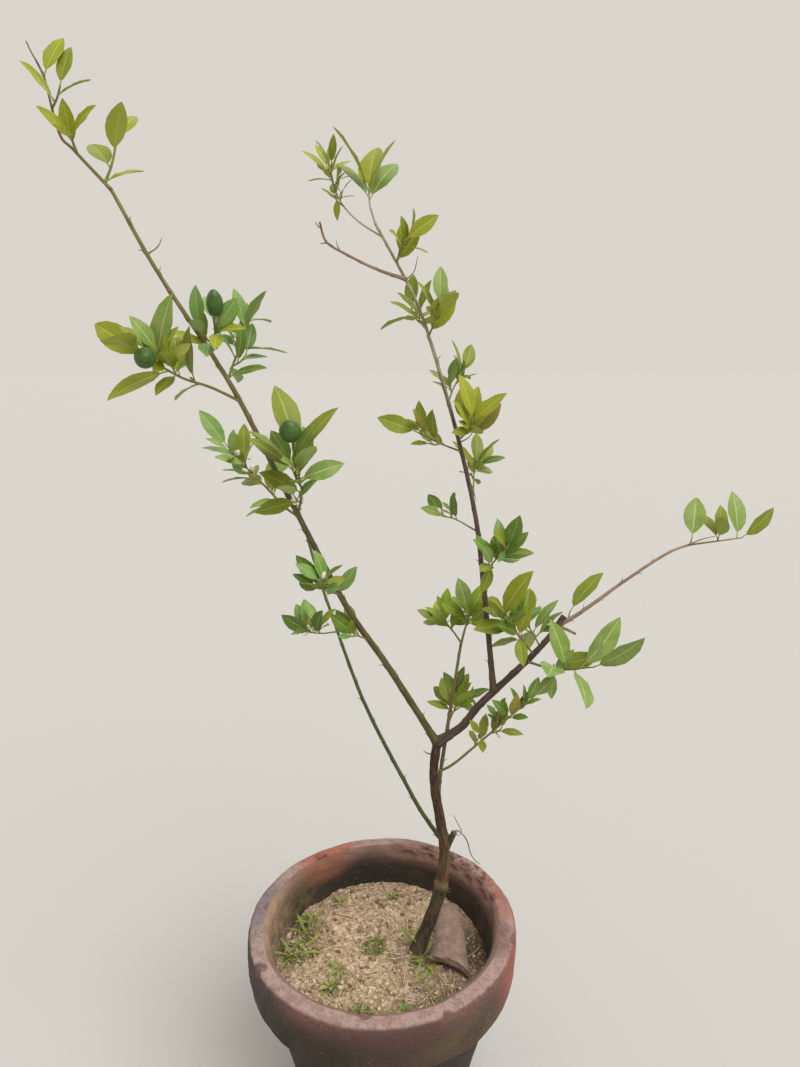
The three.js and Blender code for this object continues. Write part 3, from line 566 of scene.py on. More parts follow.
# Bark along each limb and kind of twig: base, streaks, dark blotches, pores, colour at the far end
# and the run over which it comes
BARK_TONES = {
    "right_bough": ("#413127", "#5d4838", "#2d231c", "#7c6852", "#4a382c", (150, 190)),
    "left_bough": ("#4f4726", "#6a6034", "#393220", "#8f8656", "#8f8852", (260, 520)),
    "leader": ("#493a2d", "#62503d", "#362b22", "#8b785d", "#bdb392", (240, 400)),
    "right_arm": ("#7b6453", "#98806a", "#5d4a3c", "#ad9880", "#9a866a", (100, 190)),
    "low_shoot": ("#3c4120", "#585e2d", "#2f301e", "#84834b", "#5f5c35", (150, 380)),
    "back_shoot": ("#63533e", "#7f6e55", "#4a3d30", "#998a6a", "#6e7538", (90, 180)),
    "bare_twig": ("#8b705e", "#a78f79", "#6b5042", "#bda891", "#5c3d30", (85, 123)),
}
TWIG_TONES = {
    "woody": ("#75663c", "#91814f", "#584c30", "#a89a6c", "#7c8440", (40, 80)),
    "pale": ("#9a917a", "#bab096", "#7d745f", "#cac1a9", "#8d9455", (50, 95)),
    "green": ("#697233", "#8a8c44", "#555630", "#a5a366", "#7f8a3a", (10, 30)),
}
TWIG_SWELL = {"share": 0.1, "fade": 4}
BARK_SLOTS = {"trunk": "trunk_bark", "right_bough": "trunk_bark", "low_shoot": "green_bark"}


def linear(colour):
    """A hex sRGB colour as linear red, green, blue and alpha."""
    parts = [int(colour[i : i + 2], 16) / 255 for i in (1, 3, 5)]
    lit = (c / 12.92 if c <= 0.04045 else ((c + 0.055) / 1.055) ** 2.4 for c in parts)
    return (*lit, 1.0)


def lerp(low, high, share):
    return low + (high - low) * share


def unit(vector):
    return vector / np.linalg.norm(vector, axis=-1, keepdims=True)


def heading(bearing, climb):
    b, c = math.radians(bearing), math.radians(climb)
    return np.array([math.cos(b) * math.cos(c), math.sin(b) * math.cos(c), math.sin(c)])


def cloud(points, size):
    """Smooth noise from about -1 to 1 at each point, with lumps of this size in millimetres."""
    return np.array([noise.noise(Vector(p)) for p in np.asarray(points) / size])


def luck_from(seed):
    """Draws in 0..1 that come out the same on every run."""
    state = seed * LUCK_STEP
    while True:
        state = (state * LUCK_TIMES + LUCK_PLUS) % LUCK_RANGE
        yield state / LUCK_RANGE


class Route:
    """A smooth curve through the ends of its courses, read by the share of its length."""

    MARKS = 200
    TINY = 1e-4

    def __init__(self, points):
        points = [np.array(point, float) for point in points]
        if len(points) == 2:
            points.insert(1, (points[0] + points[1]) / 2)
        before = 2 * points[0] - points[1]
        after = 2 * points[-1] - points[-2]
        self.knots = np.array([before, *points, after])
        marks = self.point(np.linspace(0, 1, self.MARKS + 1))
        steps = np.linalg.norm(np.diff(marks, axis=0), axis=1)
        self.runs = np.concatenate([[0], np.cumsum(steps)])
        self.length = float(self.runs[-1])

    def point(self, t):
        spans = len(self.knots) - 3
        place = np.clip(t, 0, 1) * spans
        first = np.minimum(np.floor(place).astype(int), spans - 1)
        w = (place - first)[..., None]
        a, b, c, d = (self.knots[first + k] for k in range(4))
        leave, arrive = (c - a) / 2, (d - b) / 2
        bend = 3 * (c - b) - 2 * leave - arrive
        return b + leave * w + bend * w**2 + (2 * (b - c) + leave + arrive) * w**3

    def turn(self, share):
        marks = np.linspace(0, 1, self.MARKS + 1)
        return np.interp(np.asarray(share) * self.length, self.runs, marks)

    def at(self, share):
        return self.point(self.turn(share))

    def along(self, share):
        t = self.turn(share)
        after, before = np.minimum(t + self.TINY, 1), np.maximum(t - self.TINY, 0)
        return unit(self.point(after) - self.point(before))

    def at_run(self, run):
        return self.at(min(run / self.length, 1))


def square_part(vector, axis):
    """What is left of a vector without its part along a unit axis."""
    return vector - vector.dot(axis) * axis


def square_to(tangents):
    """Two unit vectors square to each tangent, turned as little as can be from one to the next."""
    side = np.cross(UP if abs(tangents[0][2]) < STEEP else RIGHT, tangents[0])
    sides = []
    for tangent in tangents:
        side = unit(square_part(side, tangent))
        sides.append(side)
    return np.array(sides), np.cross(tangents, sides)


# Meshes

class Shape(NamedTuple):
    """A template: its points, its faces and each face's finish."""

    points: np.ndarray
    faces: list
    finishes: list


def shape_of(bm):
    """Reads a bmesh into a shape and frees it."""
    bm.verts.index_update()
    points = np.array([v.co for v in bm.verts])
    faces = [tuple(v.index for v in face.verts) for face in bm.faces]
    finishes = [face.material_index for face in bm.faces]
    bm.free()
    return Shape(points, faces, finishes)


def of_kind(kind, geom):
    """The elements of one kind among what a bmesh operator gives back."""
    return [element for element in geom if isinstance(element, kind)]


class Heap:
    """Shapes gathered to be joined into one mesh. Grain is where a point lies on its own shape."""

    def __init__(self):
        self.points, self.grain, self.faces, self.finishes = [], [], [], []
        self.count = 0

    def add(self, shape, points, grain=None):
        self.faces += [tuple(v + self.count for v in face) for face in shape.faces]
        self.finishes += shape.finishes
        self.points.append(points)
        self.grain.append(points if grain is None else grain)
        self.count += len(points)


def make_piece(name, heap, materials, slot, stands_for=(), sharp=None):
    """Joins a heap into a named mesh object that rides on the part and stands for CAD nodes."""
    mesh = bpy.data.meshes.new(name)
    mesh.from_pydata((np.concatenate(heap.points) * MM).tolist(), [], heap.faces)
    mesh.polygons.foreach_set("material_index", heap.finishes)
    grain = mesh.attributes.new("grain", "FLOAT_VECTOR", "POINT")
    grain.data.foreach_set("vector", np.concatenate(heap.grain).astype(np.float32).ravel())
    for material in materials:
        mesh.materials.append(material)
    mesh.shade_smooth()
    if sharp is not None:
        mesh.set_sharp_from_angle(angle=math.radians(sharp))
    piece = bpy.data.objects.new(name, mesh)
    bpy.context.scene.collection.objects.link(piece)
    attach(piece, "root")
    if stands_for:
        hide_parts(*stands_for)


@lru_cache(maxsize=None)
def rod_shape(sides, steps):
    """A unit cylinder cut into rings along its length. Its far end has a finish of its own."""
    bm = bmesh.new()
    bmesh.ops.create_cone(
        bm, cap_ends=True, cap_tris=True, segments=sides, radius1=1, radius2=1, depth=1
    )
    uprights = [e for e in bm.edges if e.verts[0].co.z * e.verts[1].co.z < 0]
    bmesh.ops.subdivide_edges(bm, edges=uprights, cuts=steps - 1, use_grid_fill=True)
    for face in bm.faces:
        face.material_index = int(min(v.co.z for v in face.verts) > 0.5 - 0.25 / steps)
    return shape_of(bm)


def bend_rod(route, half_at, sides, steps, relief=None, foot=0.0):
    """A rod bent along a route: its shape, its points and its grain (round, round, along)."""
    steps = max(steps, 2)
    shape = rod_shape(sides, steps)
    x, y, z = shape.points.T
    rings = np.rint((z + 0.5) * steps).astype(int)
    shares = np.linspace(0, 1, steps + 1)
    runs = shares * route.length
    centres, tangents = route.at(shares), route.along(shares)
    centres[0] -= foot * tangents[0]
    side, over = square_to(tangents)
    half = half_at(runs)[rings]
    grain = np.stack([x * half, y * half, runs[rings]], axis=1)
    if relief is not None:
        half = half + relief(grain)
    points = centres[rings] + (x * half)[:, None] * side[rings] + (y * half)[:, None] * over[rings]
    return shape, points, grain


@lru_cache(maxsize=None)
def blade_shape(stations, outline, columns):
    """A leaf's template: x along it, y across it in half widths and z its depth. It has an upper
    side, an underside and a midrib, with finishes 0, 1 and 2, closed along its edge."""
    lengths, widths = len(stations) - 1, len(columns) - 1
    bm = bmesh.new()
    bmesh.ops.create_grid(bm, x_segments=lengths, y_segments=widths, size=0.5)
    for face in bm.faces:
        middle = face.calc_center_median().y
        face.material_index = 2 if widths % 2 and abs(middle) < 0.5 / widths else 0
    upper = bm.verts[:] + bm.edges[:] + bm.faces[:]
    under = bmesh.ops.duplicate(bm, geom=upper)["geom"]
    under_faces = of_kind(bmesh.types.BMFace, under)
    under_verts = set(of_kind(bmesh.types.BMVert, under))
    bmesh.ops.reverse_faces(bm, faces=under_faces)
    for face in under_faces:
        face.material_index = face.material_index or 1
    for vert in bm.verts:
        station = round((vert.co.x + 0.5) * lengths)
        column = round((vert.co.y + 0.5) * widths)
        inside = 0 < station < lengths and 0 < column < widths
        rib = abs(columns[column]) < RIB_COLUMN
        depth = (1 + RIB_SWELL * rib) * (vert in under_verts) * inside
        vert.co = (stations[station], columns[column] * outline[station], -depth)
    bmesh.ops.remove_doubles(bm, verts=bm.verts[:], dist=1e-5)
    return shape_of(bm)


# Growth

class Limb(NamedTuple):
    """A limb grown from its row: its route, and its half thickness by run."""

    route: Route
    thick: float
    thin: float
    swollen: bool

    def half_at(self, runs):
        half = lerp(self.thick, self.thin, runs / self.route.length) / 2
        if self.swollen:
            half = half + FLARE / 2 * np.exp(-runs / FLARE_FADE)
            half = half + GRAFT_SWELL * np.exp(-(((runs - GRAFT_AT) / GRAFT_FADE) ** 2))
        return half


class Habit(NamedTuple):
    """How a twig carries its leaves."""

    leaves: int
    leaf: float
    bare: float
    turn: float
    spread: tuple
    lift: float
    wide: float = 1.0


class Twig(NamedTuple):
    """A green twig: its route, its thickness at each end, its spray and how its leaves stand."""

    route: Route
    thick: float
    spray: str
    fine: bool
    habit: Habit

    def half_at(self, runs):
        return lerp(self.thick, TWIG_TIP, runs / self.route.length) / 2


class Leaf(NamedTuple):
    """A leaf: where it grows, which way it points and faces, and its size."""

    root: np.ndarray
    direction: np.ndarray
    face: np.ndarray
    length: float
    half: float
    spray: str
    fine: bool
    curl: float = LEAF_CURL

    def along(self, share):
        """Points of the midrib, on the arc that it curls along, and how the blade faces there."""
        curl = math.radians(self.curl)
        angle = (curl * np.asarray(share))[..., None]
        radius = self.length / curl
        point = self.root + self.direction * radius * np.sin(angle)
        point = point - self.face * radius * (1 - np.cos(angle))
        return point, self.face * np.cos(angle) + self.direction * np.sin(angle)


class Fruit(NamedTuple):
    """A lemon: its stalk, its middle, the way it hangs and its radius."""

    stalk: Route
    centre: np.ndarray
    axis: np.ndarray
    radius: float
    spray: str


class Room:
    """Balls of space that wood, fruit and leaves hold, so that a new leaf keeps clear of them."""

    def __init__(self):
        self.centres, self.radii = np.empty((0, 3)), np.empty(0)

    def claim(self, centres, radii):
        self.centres = np.vstack([self.centres, centres])
        self.radii = np.concatenate([self.radii, np.broadcast_to(radii, len(centres))])

    def claim_along(self, rod):
        balls = math.ceil(rod.route.length / WOOD_ROOM_STEP)
        shares = np.linspace(0, 1, balls + 1)
        self.claim(rod.route.at(shares), rod.half_at(shares * rod.route.length) + WOOD_ROOM)

    def is_free(self, centres, radius):
        gaps = np.linalg.norm(self.centres[:, None] - centres, axis=2)
        return bool((gaps > self.radii[:, None] + radius).all())


def aim_leaf(along, turn, spread, lift, roll=0):
    """The way a leaf points and the way its blade faces, by the same rule as the solids."""
    side = unit(np.cross(UP, along))
    over = np.cross(along, side)
    around, away = math.radians(turn), math.radians(spread)
    out = side * math.cos(around) + over * math.sin(around)
    direction = unit(along * math.cos(away) + out * math.sin(away) + UP * lift)
    pull = TWIG_PULL * unit(square_part(along, direction))
    face = unit(pull + square_part(LIGHT, direction))
    angle = math.radians(roll)
    return direction, face * math.cos(angle) + np.cross(direction, face) * math.sin(angle)


def leaves_of(twig, luck, room, bounds=None):
    """The leaves of one twig, from its lowest to its tip. One with no room is left out."""
    habit, leaves = twig.habit, []
    for i in range(habit.leaves):
        share = 1 if habit.leaves == 1 else i / (habit.leaves - 1)
        at = lerp(habit.bare, LAST_LEAF_AT, share)
        root, along = twig.route.at(at), twig.route.along(at)
        spread = lerp(*habit.spread, share) + LEAF_STRAY["spread"] * (next(luck) - 0.5)
        roll = LEAF_STRAY["roll"] * (next(luck) - 0.5)
        length = habit.leaf * lerp(*LEAF_LENGTHS, next(luck))
        turn = habit.turn + i * GOLDEN_ANGLE + LEAF_STRAY["turn"] * (next(luck) - 0.5)
        half = LEAF_WIDTH * length * lerp(*LEAF_WIDTHS, next(luck)) / 2 * habit.wide
        for tries in range(TRIES):
            turned = turn + tries * TURN_ON
            direction, face = aim_leaf(along, turned, spread, habit.lift, roll)
            leaf = Leaf(root, direction, face, length, half, twig.spray, twig.fine)
            balls = leaf.along(np.array(LEAF_ROOM_AT))[0]
            inside = bounds is None or inside_box(leaf.along(np.array([0.5, 1.0]))[0], bounds)
            if inside and room.is_free(balls, length * LEAF_ROOM):
                room.claim(balls, length * LEAF_ROOM)
                leaves.append(leaf)
                break
    return leaves


def inside_box(points, bounds):
    return bool((points > bounds[0]).all() and (points < bounds[1]).all())


def side_shoots(twig, count, luck):
    """Short shoots in the axils of a twig's leaves, finer than the solids carry."""
    first = max(twig.habit.bare * FINE_SHOOT["from"], FINE_SHOOT["least_from"])
    for i in range(count):
        share = lerp(first, FINE_SHOOT["to"], (i + next(luck)) / count)
        along = twig.route.along(share)
        turn = twig.habit.turn + FINE_SHOOT["turn"] + i * GOLDEN_ANGLE
        lean = lerp(*FINE_SHOOT["lean"], next(luck))
        direction, _ = aim_leaf(along, turn, lean, FINE_SHOOT["lift"])
        start = twig.route.at(share)
        run = lerp(*FINE_SHOOT["runs"], next(luck))
        bent = unit(direction + FINE_SHOOT["bend"] * UP)
        elbow = start + run * 0.5 * direction
        route = Route([start, elbow, start + run * (0.5 * direction + 0.5 * bent)])
        leaf = twig.habit.leaf * lerp(*FINE_SHOOT["leaf"], next(luck))
        leaf, wide = max(leaf, FINE_SHOOT["least_leaf"]), min(twig.habit.wide, 1.0)
        habit = Habit(leaf=leaf, turn=360 * next(luck), wide=wide, **FINE_HABIT)
        yield Twig(route, FINE_SHOOT["thick"], twig.spray, True, habit)


def route_of(start, courses):
    points = [np.array(start, float)]
    for run, bearing, climb in courses:
        points.append(points[-1] + run * heading(bearing, climb))
    return Route(points)


class Growth(NamedTuple):
    """The grown tree, with its limbs by name."""

    limbs: dict
    twigs: list
    fruits: list
    leaves: list


@lru_cache(maxsize=None)
def grow_tree(fine_share):
    """The whole tree: its limbs, the solids' own twigs and leaves, then finer ones among them."""
    limbs, twigs, fruits, leaves, room = {}, [], [], [], Room()
    foot = (*TRUNK_FOOT, SOIL_TOP)
    for row in LIMBS:
        start = limbs[row["on"]].route.at_run(row["at"]) if "on" in row else foot
        route = route_of(start, row["courses"])
        limbs[row["name"]] = Limb(route, row["thick"], row["thin"], "on" not in row)
    for row in SPRAYS:
        stem = route_of(limbs[row["on"]].route.at_run(row["at"]), row["courses"])
        twigs.append(Twig(stem, row["thick"], row["name"], False, Habit(*row["habit"])))
        for shoot in row.get("shoots", []):
            route = route_of(stem.at_run(shoot["at"]), shoot["courses"])
            thick, habit = row["thick"] * SHOOT_THICK, Habit(*shoot["habit"])
            twigs.append(Twig(route, thick, row["name"], False, habit))
        if "fruit" in row:
            fruit = row["fruit"]
            stalk = route_of(stem.at_run(fruit["at"]), fruit["courses"])
            axis, radius = stalk.along(1.0), fruit["diameter"] / 2
            centre = stalk.at(1.0) + axis * radius * FRUIT_SEAT
            fruits.append(Fruit(stalk, centre, axis, radius, row["name"]))
            room.claim([centre], radius + WOOD_ROOM)
    for rod in [*limbs.values(), *twigs]:
        room.claim_along(rod)
    luck = {row["name"]: luck_from(row["seed"]) for row in SPRAYS}
    for twig in twigs:
        leaves += leaves_of(twig, luck[twig.spray], room)
    for row in SPRAYS:
        own = [twig for twig in twigs if twig.spray == row["name"] and not twig.fine]
        fine_luck = luck_from(row["seed"] + FINE_SEED)
        low, high = (np.array(corner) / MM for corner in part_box(row["name"]))
        bounds = (low - FINE_REACH, high + FINE_REACH)
        total = sum(twig.route.length for twig in own)
        for twig in own:
            share = fine_share * FOLIAGE[row["name"]][0] * twig.route.length / total
            for shoot in side_shoots(twig, round(share), fine_luck):
                grown = leaves_of(shoot, fine_luck, room, bounds)
                if grown:
                    room.claim_along(shoot)
                    twigs.append(shoot)
                    leaves += grown
    return Growth(limbs, twigs, fruits, leaves)


def leaf_points(shape, leaf, thick, phase):
    """A blade laid out on its leaf: curled along, folded up at the midrib, rippled at its edge."""
    x, y, z = shape.points.T
    centre, facing = leaf.along(STALK_SHARE + (1 - STALK_SHARE) * x)
    across = np.cross(leaf.direction, leaf.face)
    half = leaf.half * BLADE_WIDEN
    out = np.abs(y)
    rise = out * half * (math.tan(math.radians(LEAF_FOLD)) - BLADE_SAG * out)
    waves = np.sin(TURN * (BLADE_RIPPLE["waves"] * x + phase))
    ripple = BLADE_RIPPLE["deep"] * half * waves * out**2
    lift = (rise + ripple + z * thick)[:, None] * facing
    grain = np.stack([x * leaf.length, y * half, np.full(len(x), phase)], axis=1)
    return centre + (y * half)[:, None] * across + lift, grain


# Materials

def add(tree, kind, links=None, **settings):
    """Adds a node with its settings. Links fill its inputs with sockets or plain values."""
    node = tree.nodes.new("ShaderNode" + kind)
    for key, value in settings.items():
        setattr(node, key, value)
    for key, value in (links or {}).items():
        if isinstance(value, bpy.types.NodeSocket):
            tree.links.new(value, node.inputs[key])
        else:
            node.inputs[key].default_value = value
    return node.outputs


def object_place(tree):
    return add(tree, "TexCoord")["Object"]


def grain_place(tree, stretch):
    """The grain attribute, in metres, squeezed along its run so that a pattern draws out there."""
    grain = add(tree, "Attribute", attribute_name="grain")["Vector"]
    scale = (MM, MM, MM / stretch)
    return add(tree, "VectorMath", {0: grain, 1: scale}, operation="MULTIPLY")[0]


def drawn_out(place, stretch):
    """A place scaled by axis, so that a pattern on it is drawn out where the scale is small."""
    return add(place.id_data, "VectorMath", {0: place, 1: stretch}, operation="MULTIPLY")[0]


def mottle(place, size, low=0.45, high=0.55, detail=3.0):
    """A mask of patches of this size in millimetres, hard or soft between its two levels."""
    links = {"Vector": place, "Scale": 1 / (size * MM), "Detail": detail, "Roughness": 0.6}
    value = add(place.id_data, "TexNoise", links)[0]
    links = {0: value, 1: low, 2: high, 3: 0.0, 4: 1.0}
    return add(place.id_data, "MapRange", links, interpolation_type="SMOOTHSTEP")[0]


def specks(place, size, reach):
    """A mask of specks this far apart in millimetres, each as wide as reach is a share of that."""
    links = {"Vector": place, "Scale": 1 / (size * MM)}
    distance = add(place.id_data, "TexVoronoi", links)["Distance"]
    links = {0: distance, 1: reach, 2: reach * 0.7, 3: 0.0, 4: 1.0}
    return add(place.id_data, "MapRange", links, interpolation_type="SMOOTHSTEP")[0]


def near(place, centre, reach):
    """A mask that fades from a place, in millimetres, out to its reach."""
    here = [c * MM for c in centre]
    distance = add(place.id_data, "VectorMath", {0: place, 1: here}, operation="DISTANCE")["Value"]
    links = {0: distance, 1: reach * MM, 2: reach * MM * 0.35, 3: 0.0, 4: 1.0}
    return add(place.id_data, "MapRange", links, interpolation_type="SMOOTHSTEP")[0]


def band(place, axis, low, high):
    """A mask that rises from 0 to 1 between two levels on an axis, in millimetres."""
    value = add(place.id_data, "SeparateXYZ", {0: place})["XYZ".index(axis)]
    links = {0: value, 1: low * MM, 2: high * MM, 3: 0.0, 4: 1.0}
    return add(place.id_data, "MapRange", links, interpolation_type="SMOOTHSTEP")[0]


def both(mask, *others):
    """Where all masks hold. A number weakens the rest."""
    for other in others:
        mask = add(mask.id_data, "Math", {0: mask, 1: other}, operation="MULTIPLY")[0]
    return mask


def apart(mask):
    """Where a mask doesn't hold."""
    return add(mask.id_data, "Math", {0: 1.0, 1: mask}, operation="SUBTRACT")[0]


def paint(tree, base, layers):
    """Lays each colour over the last where its mask holds."""
    colour = linear(base)
    for mask, tone in layers:
        links = {0: mask, 6: colour, 7: linear(tone)}
        colour = add(tree, "Mix", links, data_type="RGBA")[2]
    return colour


def surface(name, roughness, ior=1.5):
    """A new material with a Principled shader, and its node tree."""
    material = bpy.data.materials.new(name)
    material.use_nodes = True
    tree = material.node_tree
    shader = tree.nodes["Principled BSDF"]
    shader.inputs["Roughness"].default_value = roughness
    shader.inputs["IOR"].default_value = ior
    return material, tree, shader


def coat(tree, shader, colour, height=None, relief=0.0, roughness=None):
    """Joins a colour, a height in millimetres for the bump and a roughness to the shader."""
    if isinstance(colour, bpy.types.NodeSocket):
        tree.links.new(colour, shader.inputs["Base Color"])
    else:
        shader.inputs["Base Color"].default_value = colour
    if height is not None:
        links = {"Height": height, "Distance": relief * MM, "Strength": 1.0}
        tree.links.new(add(tree, "Bump", links)["Normal"], shader.inputs["Normal"])
    if roughness is not None:
        tree.links.new(roughness, shader.inputs["Roughness"])


def ranged(mask, low, high):
    """A mask whose 0 and 1 become these two values."""
    return add(mask.id_data, "MapRange", {0: mask, 1: 0.0, 2: 1.0, 3: low, 4: high})[0]


def chip_place(bearing, gap, below):
    """Where a chip in the rim lies, from its bearing, distance from the axis and depth."""
    angle = math.radians(bearing)
    return (gap * math.cos(angle), gap * math.sin(angle), POT_HEIGHT - below)


def weathered_terracotta():
    """Terracotta, thrown and fired unglazed, left outdoors: mauve grey bloom over brick red body,
    black and green algae where it stays damp, and pale worn edges. Painted light and shade as well:
    the right side lit redder, a painted highlight on the crest and a bluish sheen on the left rim,
    painted shade on the left, the front and the front left, and painted shadow in the deep chips and
    under the torn lip. Darker towards the collar's foot and on the wall below it. Dull, with a sandy
    grain."""
    material, tree, shader = surface("weathered_terracotta", 0.9)
    place = object_place(tree)
    broad = mottle(place, 55, 0.36, 0.66)
    cloudy = mottle(place, 22, 0.36, 0.66)
    smeared = mottle(drawn_out(place, (1, 1, 0.35)), 12, 0.42, 0.66)
    grain = mottle(place, 3.2, 0.40, 0.66)
    sooty = mottle(place, 3.6, 0.50, 0.66)
    pitted = ranged(mottle(place, 5, 0.42, 0.58), 0.3, 1)
    streaky = ranged(smeared, 1, 0.6)
    collar = band(place, "Z", 180, 184)
    lower = both(collar, band(place, "Z", 236, 208))
    wall = apart(collar)
    crest = band(place, "Z", 236.9, 239.4)
    front = near(place, (10, -150, 205), 95)
    front_left = near(place, (-72, -134, 188), 96)
    front_right = near(place, (92, -118, 184), 84)
    left = near(place, (-160, -40, 200), 130)
    right = near(place, (150, -20, 215), 95)
    left_lip = near(place, (-150, 20, 238), 66)
    right_lip = near(place, (133, 40, 238), 62)
    front_right_lip = near(place, (112, -30, 240), 44)
    back_left_lip = near(place, (-78, 122, 238), 58)
    back_lip = near(place, (60, 130, 238), 62)
    # Painted shadow under the overhang of the torn inner lip
    torn = both(near(place, (96, 88, 232), 66), mottle(place, 7, 0.5, 0.6), 0.8)
    # Painted shadow in the hollows of deep chips; shallow ones show the plain body
    chips = [
        (
            both(near(place, chip_place(bearing, gap, below), reach), pitted),
            "#30251f" if cut >= SHADED_CHIP_CUT else "#63493e",
        )
        for bearing, gap, below, reach, cut in RIM_CHIPS
    ]
    colour = paint(tree, "#64483f", [
        (broad, "#764b41"),
        (both(cloudy, 0.6), "#594845"),
        (both(lower, ranged(broad, 0.95, 0.75)), "#3b2a23"),
        (both(lower, smeared, 0.5), "#523a31"),
        # Brick red body on the right, made redder and lighter by painted light from the right
        (both(right, streaky), "#96574a"),
        # Painted shade on the left side, turned away from the light
        (both(left, 0.85), "#3c3331"),
        (both(left, smeared, 0.9), "#312e2b"),
        # Pale worn crest, with a painted highlight on its top
        (both(crest, streaky), "#a2877f"),
        (both(back_left_lip, ranged(grain, 1, 0.8)), "#a35c47"),
        # The right rim's red, partly painted light from the right
        (both(right_lip, ranged(cloudy, 0.5, 0.9)), "#905a4a"),
        (both(back_lip, 0.75), "#7b5850"),
        # Mauve grey bloom on the left rim, with a painted bluish sheen
        (both(left_lip, 0.75), "#6d6366"),
        (both(grain, 0.1), "#a3908a"),
        (both(sooty, 0.35), "#453731"),
        # Painted shade on the collar's front, below the crest
        (both(front, apart(crest), 0.65), "#45332d"),
        (both(front_right_lip, ranged(cloudy, 0.95, 0.6)), "#5b3d35"),
        # Painted shade low on the collar at the front left
        (both(front_left, lower, 0.8), "#2f281c"),
        # Olive green algae low on the collar at the front right, lightened by painted light from the
        # right
        (both(front_right, lower, ranged(broad, 0.15, 0.85)), "#5b4c2e"),
        (wall, "#3b2f27"),
        (both(wall, broad, 0.7), "#4c3a32"),
        (both(wall, cloudy, 0.6), "#352d22"),
        (both(wall, smeared, 0.35), "#6a574c"),
        # Painted shade on the wall at the front left
        (both(wall, front_left, 0.8), "#2d271b"),
        # Olive green algae on the wall at the front right, lightened by painted light from the right
        (both(wall, front_right, smeared), "#7d6e3f"),
        (both(specks(place, 8, 0.11), 0.22), "#b0a199"),
        # Painted shadow under the torn lip
        (torn, "#4a382f"),
        *chips,
    ])
    height = add(tree, "TexNoise", {"Vector": place, "Scale": 1 / (3.5 * MM), "Detail": 6.0})[0]
    coat(tree, shader, colour, height, 1.6, ranged(cloudy, 0.95, 0.75))
    return material


def inner_clay():
    """The same clay inside the mouth, where soil and damp have stained it dark, with painted shade
    deep in the mouth and low at the back and a lighter band at the top. The left wall, which faces
    the light from the right, is painted lit.
    """
    material, tree, shader = surface("soil_stained_and_shaded_terracotta", 0.95)
    place = object_place(tree)
    grimy = mottle(place, 12, 0.40, 0.62)
    broad = mottle(place, 34, 0.40, 0.62)
    top = band(place, "Z", 214, 230)
    upper = band(place, "Z", 205, 220)
    left = near(place, (-124, 0, 222), 74)
    right = near(place, (120, 30, 226), 70)
    back_left_lip = both(near(place, (-76, 100, 236), 46), upper)
    mossy = near(place, (-100, 60, 200), 45)
    shaded = near(place, (-20, 122, 186), 60)
    # The dark base is partly soil stain, partly painted shade deep in the mouth; the top band stays
    # lighter
    colour = paint(tree, "#3d3228", [
        (both(grimy, 0.6), "#2a251d"),
        (both(top, ranged(broad, 0.75, 1.0)), "#84645a"),
        # Painted light on the left wall, which faces the light from the right
        (both(left, ranged(grimy, 1.0, 0.5)), "#957b62"),
        (both(back_left_lip, ranged(grimy, 0.95, 0.7)), "#8a5a45"),
        (both(right, broad, 0.7), "#725044"),
        (both(mossy, grimy, 0.7), "#6b5e3c"),
        (both(shaded, ranged(grimy, 0.7, 1.0)), "#26241b"),
        (both(specks(place, 9, 0.12), 0.3), "#8c8474"),
    ])
    height = add(tree, "TexNoise", {"Vector": place, "Scale": 1 / (3.0 * MM), "Detail": 6.0})[0]
    coat(tree, shader, colour, height, 1.6)
    return material


def sandy_soil():
    """Sandy potting soil, dry on top: pale tan crumbs with dark specks, darker where it is damp
    at the front right and green with moss where water stands, with painted shade along the right
    wall and beside the trunk. Fully dull."""
    material, tree, shader = surface("sandy_potting_soil", 1.0)
    place = object_place(tree)
    crumbs = mottle(place, 4.6, 0.42, 0.58, 6.0)
    clods = mottle(place, 11, 0.42, 0.58, 4.0)
    lumps = mottle(place, 26, 0.40, 0.62)
    damp = both(near(place, (72, -88, 191), 85), ranged(clods, 0.6, 1.0))
    shade = both(near(place, (30, -6, 191), 34), ranged(clods, 0.4, 0.9))
    shade_by_wall = near(place, (112, 10, 188), 46)
    green_films = [
        (both(near(place, (*spot, 191), reach), clods, strength), tone)
        for spot, reach, strength, tone in GREEN_FILMS
    ]
    colour = paint(tree, "#e2c7ab", [
        (lumps, "#c9af92"),
        (both(clods, 0.7), "#b09778"),
        (both(crumbs, 0.75), "#917a66"),
        # Painted shade on the soil along the right wall
        (both(shade_by_wall, 0.85), "#4b3d2f"),
        (both(damp, 0.8), "#5b4a3a"),
        (both(shade, 0.7), "#54463a"),
        *green_films,
        (both(specks(place, 7.5, 0.14), 0.25), "#63513f"),
        (both(specks(place, 6.5, 0.2), 0.5), "#e2cdaa"),
    ])
    height = add(tree, "TexNoise", {"Vector": place, "Scale": 1 / (2.0 * MM), "Detail": 6.0})[0]
    coat(tree, shader, colour, height, 3.0)
    return material


def plain_matter(name, colour, tone, size, roughness, relief=0.2):
    """A natural surface with two tones, mottled and roughened at one size in millimetres."""
    material, tree, shader = surface(name, roughness)
    place = object_place(tree)
    mask = mottle(place, size, 0.4, 0.6)
    coat(tree, shader, paint(tree, colour, [(mask, tone)]), mask, relief)
    return material


